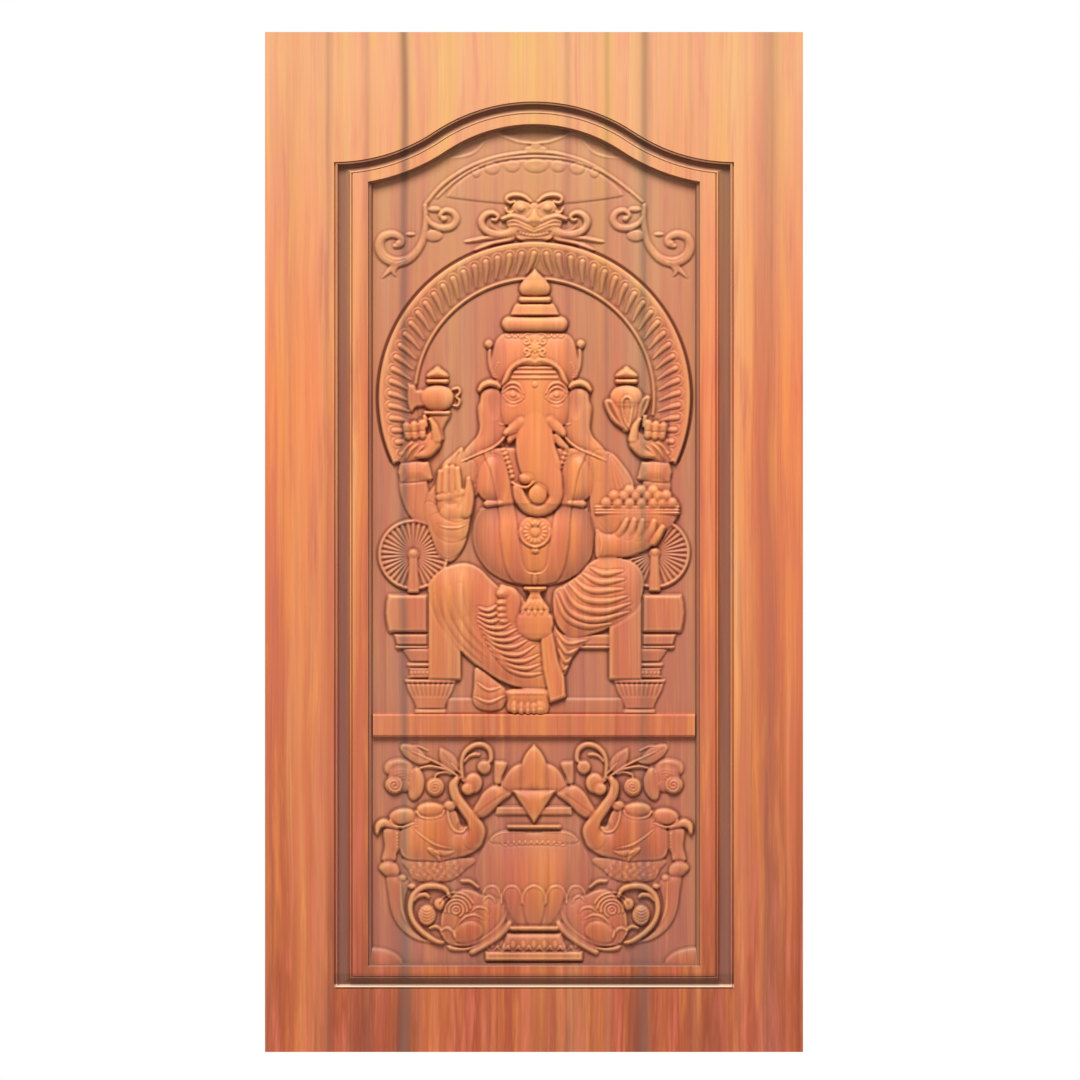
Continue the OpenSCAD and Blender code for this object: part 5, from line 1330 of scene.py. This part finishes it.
MOULDINGS = ("left", "right", "bottom", "crown", "left_flank", "right_flank")
HINGES = ("top", "middle", "bottom")
NODE_MATERIALS = {
    frame_teak: ["left_stile", "right_stile", "top_rail", "middle_rail", "bottom_rail", "tenon_pegs"],
    moulding_teak: [f"{place}_moulding" for place in MOULDINGS],
    hinge_brass: ["hinge_screws"] + [f"{place}_hinge_{side}_plate" for place in HINGES
                                     for side in ("leaf", "jamb")],
    pin_steel: [f"{place}_hinge_pin" for place in HINGES],
}
for material, nodes in NODE_MATERIALS.items():
    for node in nodes:
        mesh = bpy.data.objects[node].data
        mesh.materials.clear()
        mesh.materials.append(material)


def show_panel(node, field, tiles, low, top):
    """The carved field in tiles, with its board behind, in place of a panel's solid."""
    heights = field.finished()
    count = len(field.z)
    pieces = [board(f"{node}_board", low, lambda x: top(x, -TONGUE), panel_teak)]
    for k in range(tiles):
        rows = slice(count * k // tiles, min(count * (k + 1) // tiles + 1, count))
        pieces.append(relief_tile(f"{node}_carving_{k + 1}", field, heights, rows,
                                  lambda x: top(x, HEAD_WIDTH - HIDDEN), panel_teak))
    for piece in pieces:
        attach(piece, "leaf")
        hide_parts(node)


upper = Relief((-PANEL_HALF - HIDDEN, LEDGE_TOP - HIDDEN), (PANEL_HALF + HIDDEN,
    CROWN_Z - HEAD_WIDTH + HIDDEN))
carve_upper(upper)
show_panel("upper_panel", upper, 4, LEDGE_TOP - TONGUE, ogee_low)

lower = Relief((-PANEL_HALF - HIDDEN, FOOT_LOW - HIDDEN), (PANEL_HALF + HIDDEN, LEDGE_LOW + HIDDEN))
carve_lower(lower)
show_panel("lower_panel", lower, 2, FOOT_LOW - HEAD_WIDTH - TONGUE,
           lambda x, inset: np.full(np.shape(x), LEDGE_LOW + (TONGUE if inset < 0 else HIDDEN)))

bpy.ops.object.select_all(action="DESELECT")
bpy.ops.mesh.primitive_plane_add(size=1.5, location=(0, 0, 0))
floor = active("studio_floor", floor_material())

scene = bpy.context.scene
world = bpy.data.worlds.new("studio")
scene.world = world
world.use_nodes = True
background = world.node_tree.nodes["Background"]
light_path = world.node_tree.nodes.new("ShaderNodeLightPath")
seen = sum(Wire(light_path.outputs[f"Is {kind} Ray"]) for kind in ("Camera", "Glossy", "Transmission"))
seen = seen.math("MINIMUM", seen, 1.0)
way = seen.add("ShaderNodeTexCoord", {}, output="Generated")
height = way.add("ShaderNodeSeparateXYZ", {0: way}, output="Z")
soft_box = height.ramp(-0.25, 0.9).mixed(linear(60, 58, 56), linear(215, 216, 220))
world.node_tree.links.new(seen.mixed(soft_box, (1.0, 1.0, 1.0, 1.0)).socket, background.inputs["Color"])

KEY_TILT = math.radians(37), math.radians(-6), 0
KEY_SPREAD = math.radians(24)
KEY_POWER = 3.55
bpy.ops.object.light_add(type="SUN", rotation=KEY_TILT)
key = bpy.context.object
key.name = "key_light"
key.data.energy = KEY_POWER
key.data.angle = KEY_SPREAD

PHOTO_CENTRE = 0.012, -4.0, 1.024
PHOTO_SPAN = 2.16
bpy.ops.object.camera_add(location=PHOTO_CENTRE, rotation=(math.radians(90), 0, 0))
camera = bpy.context.object
camera.name = "photo_camera"
camera.data.type = "ORTHO"
camera.data.ortho_scale = PHOTO_SPAN
scene.camera = camera
scene.view_settings.view_transform = "Standard"
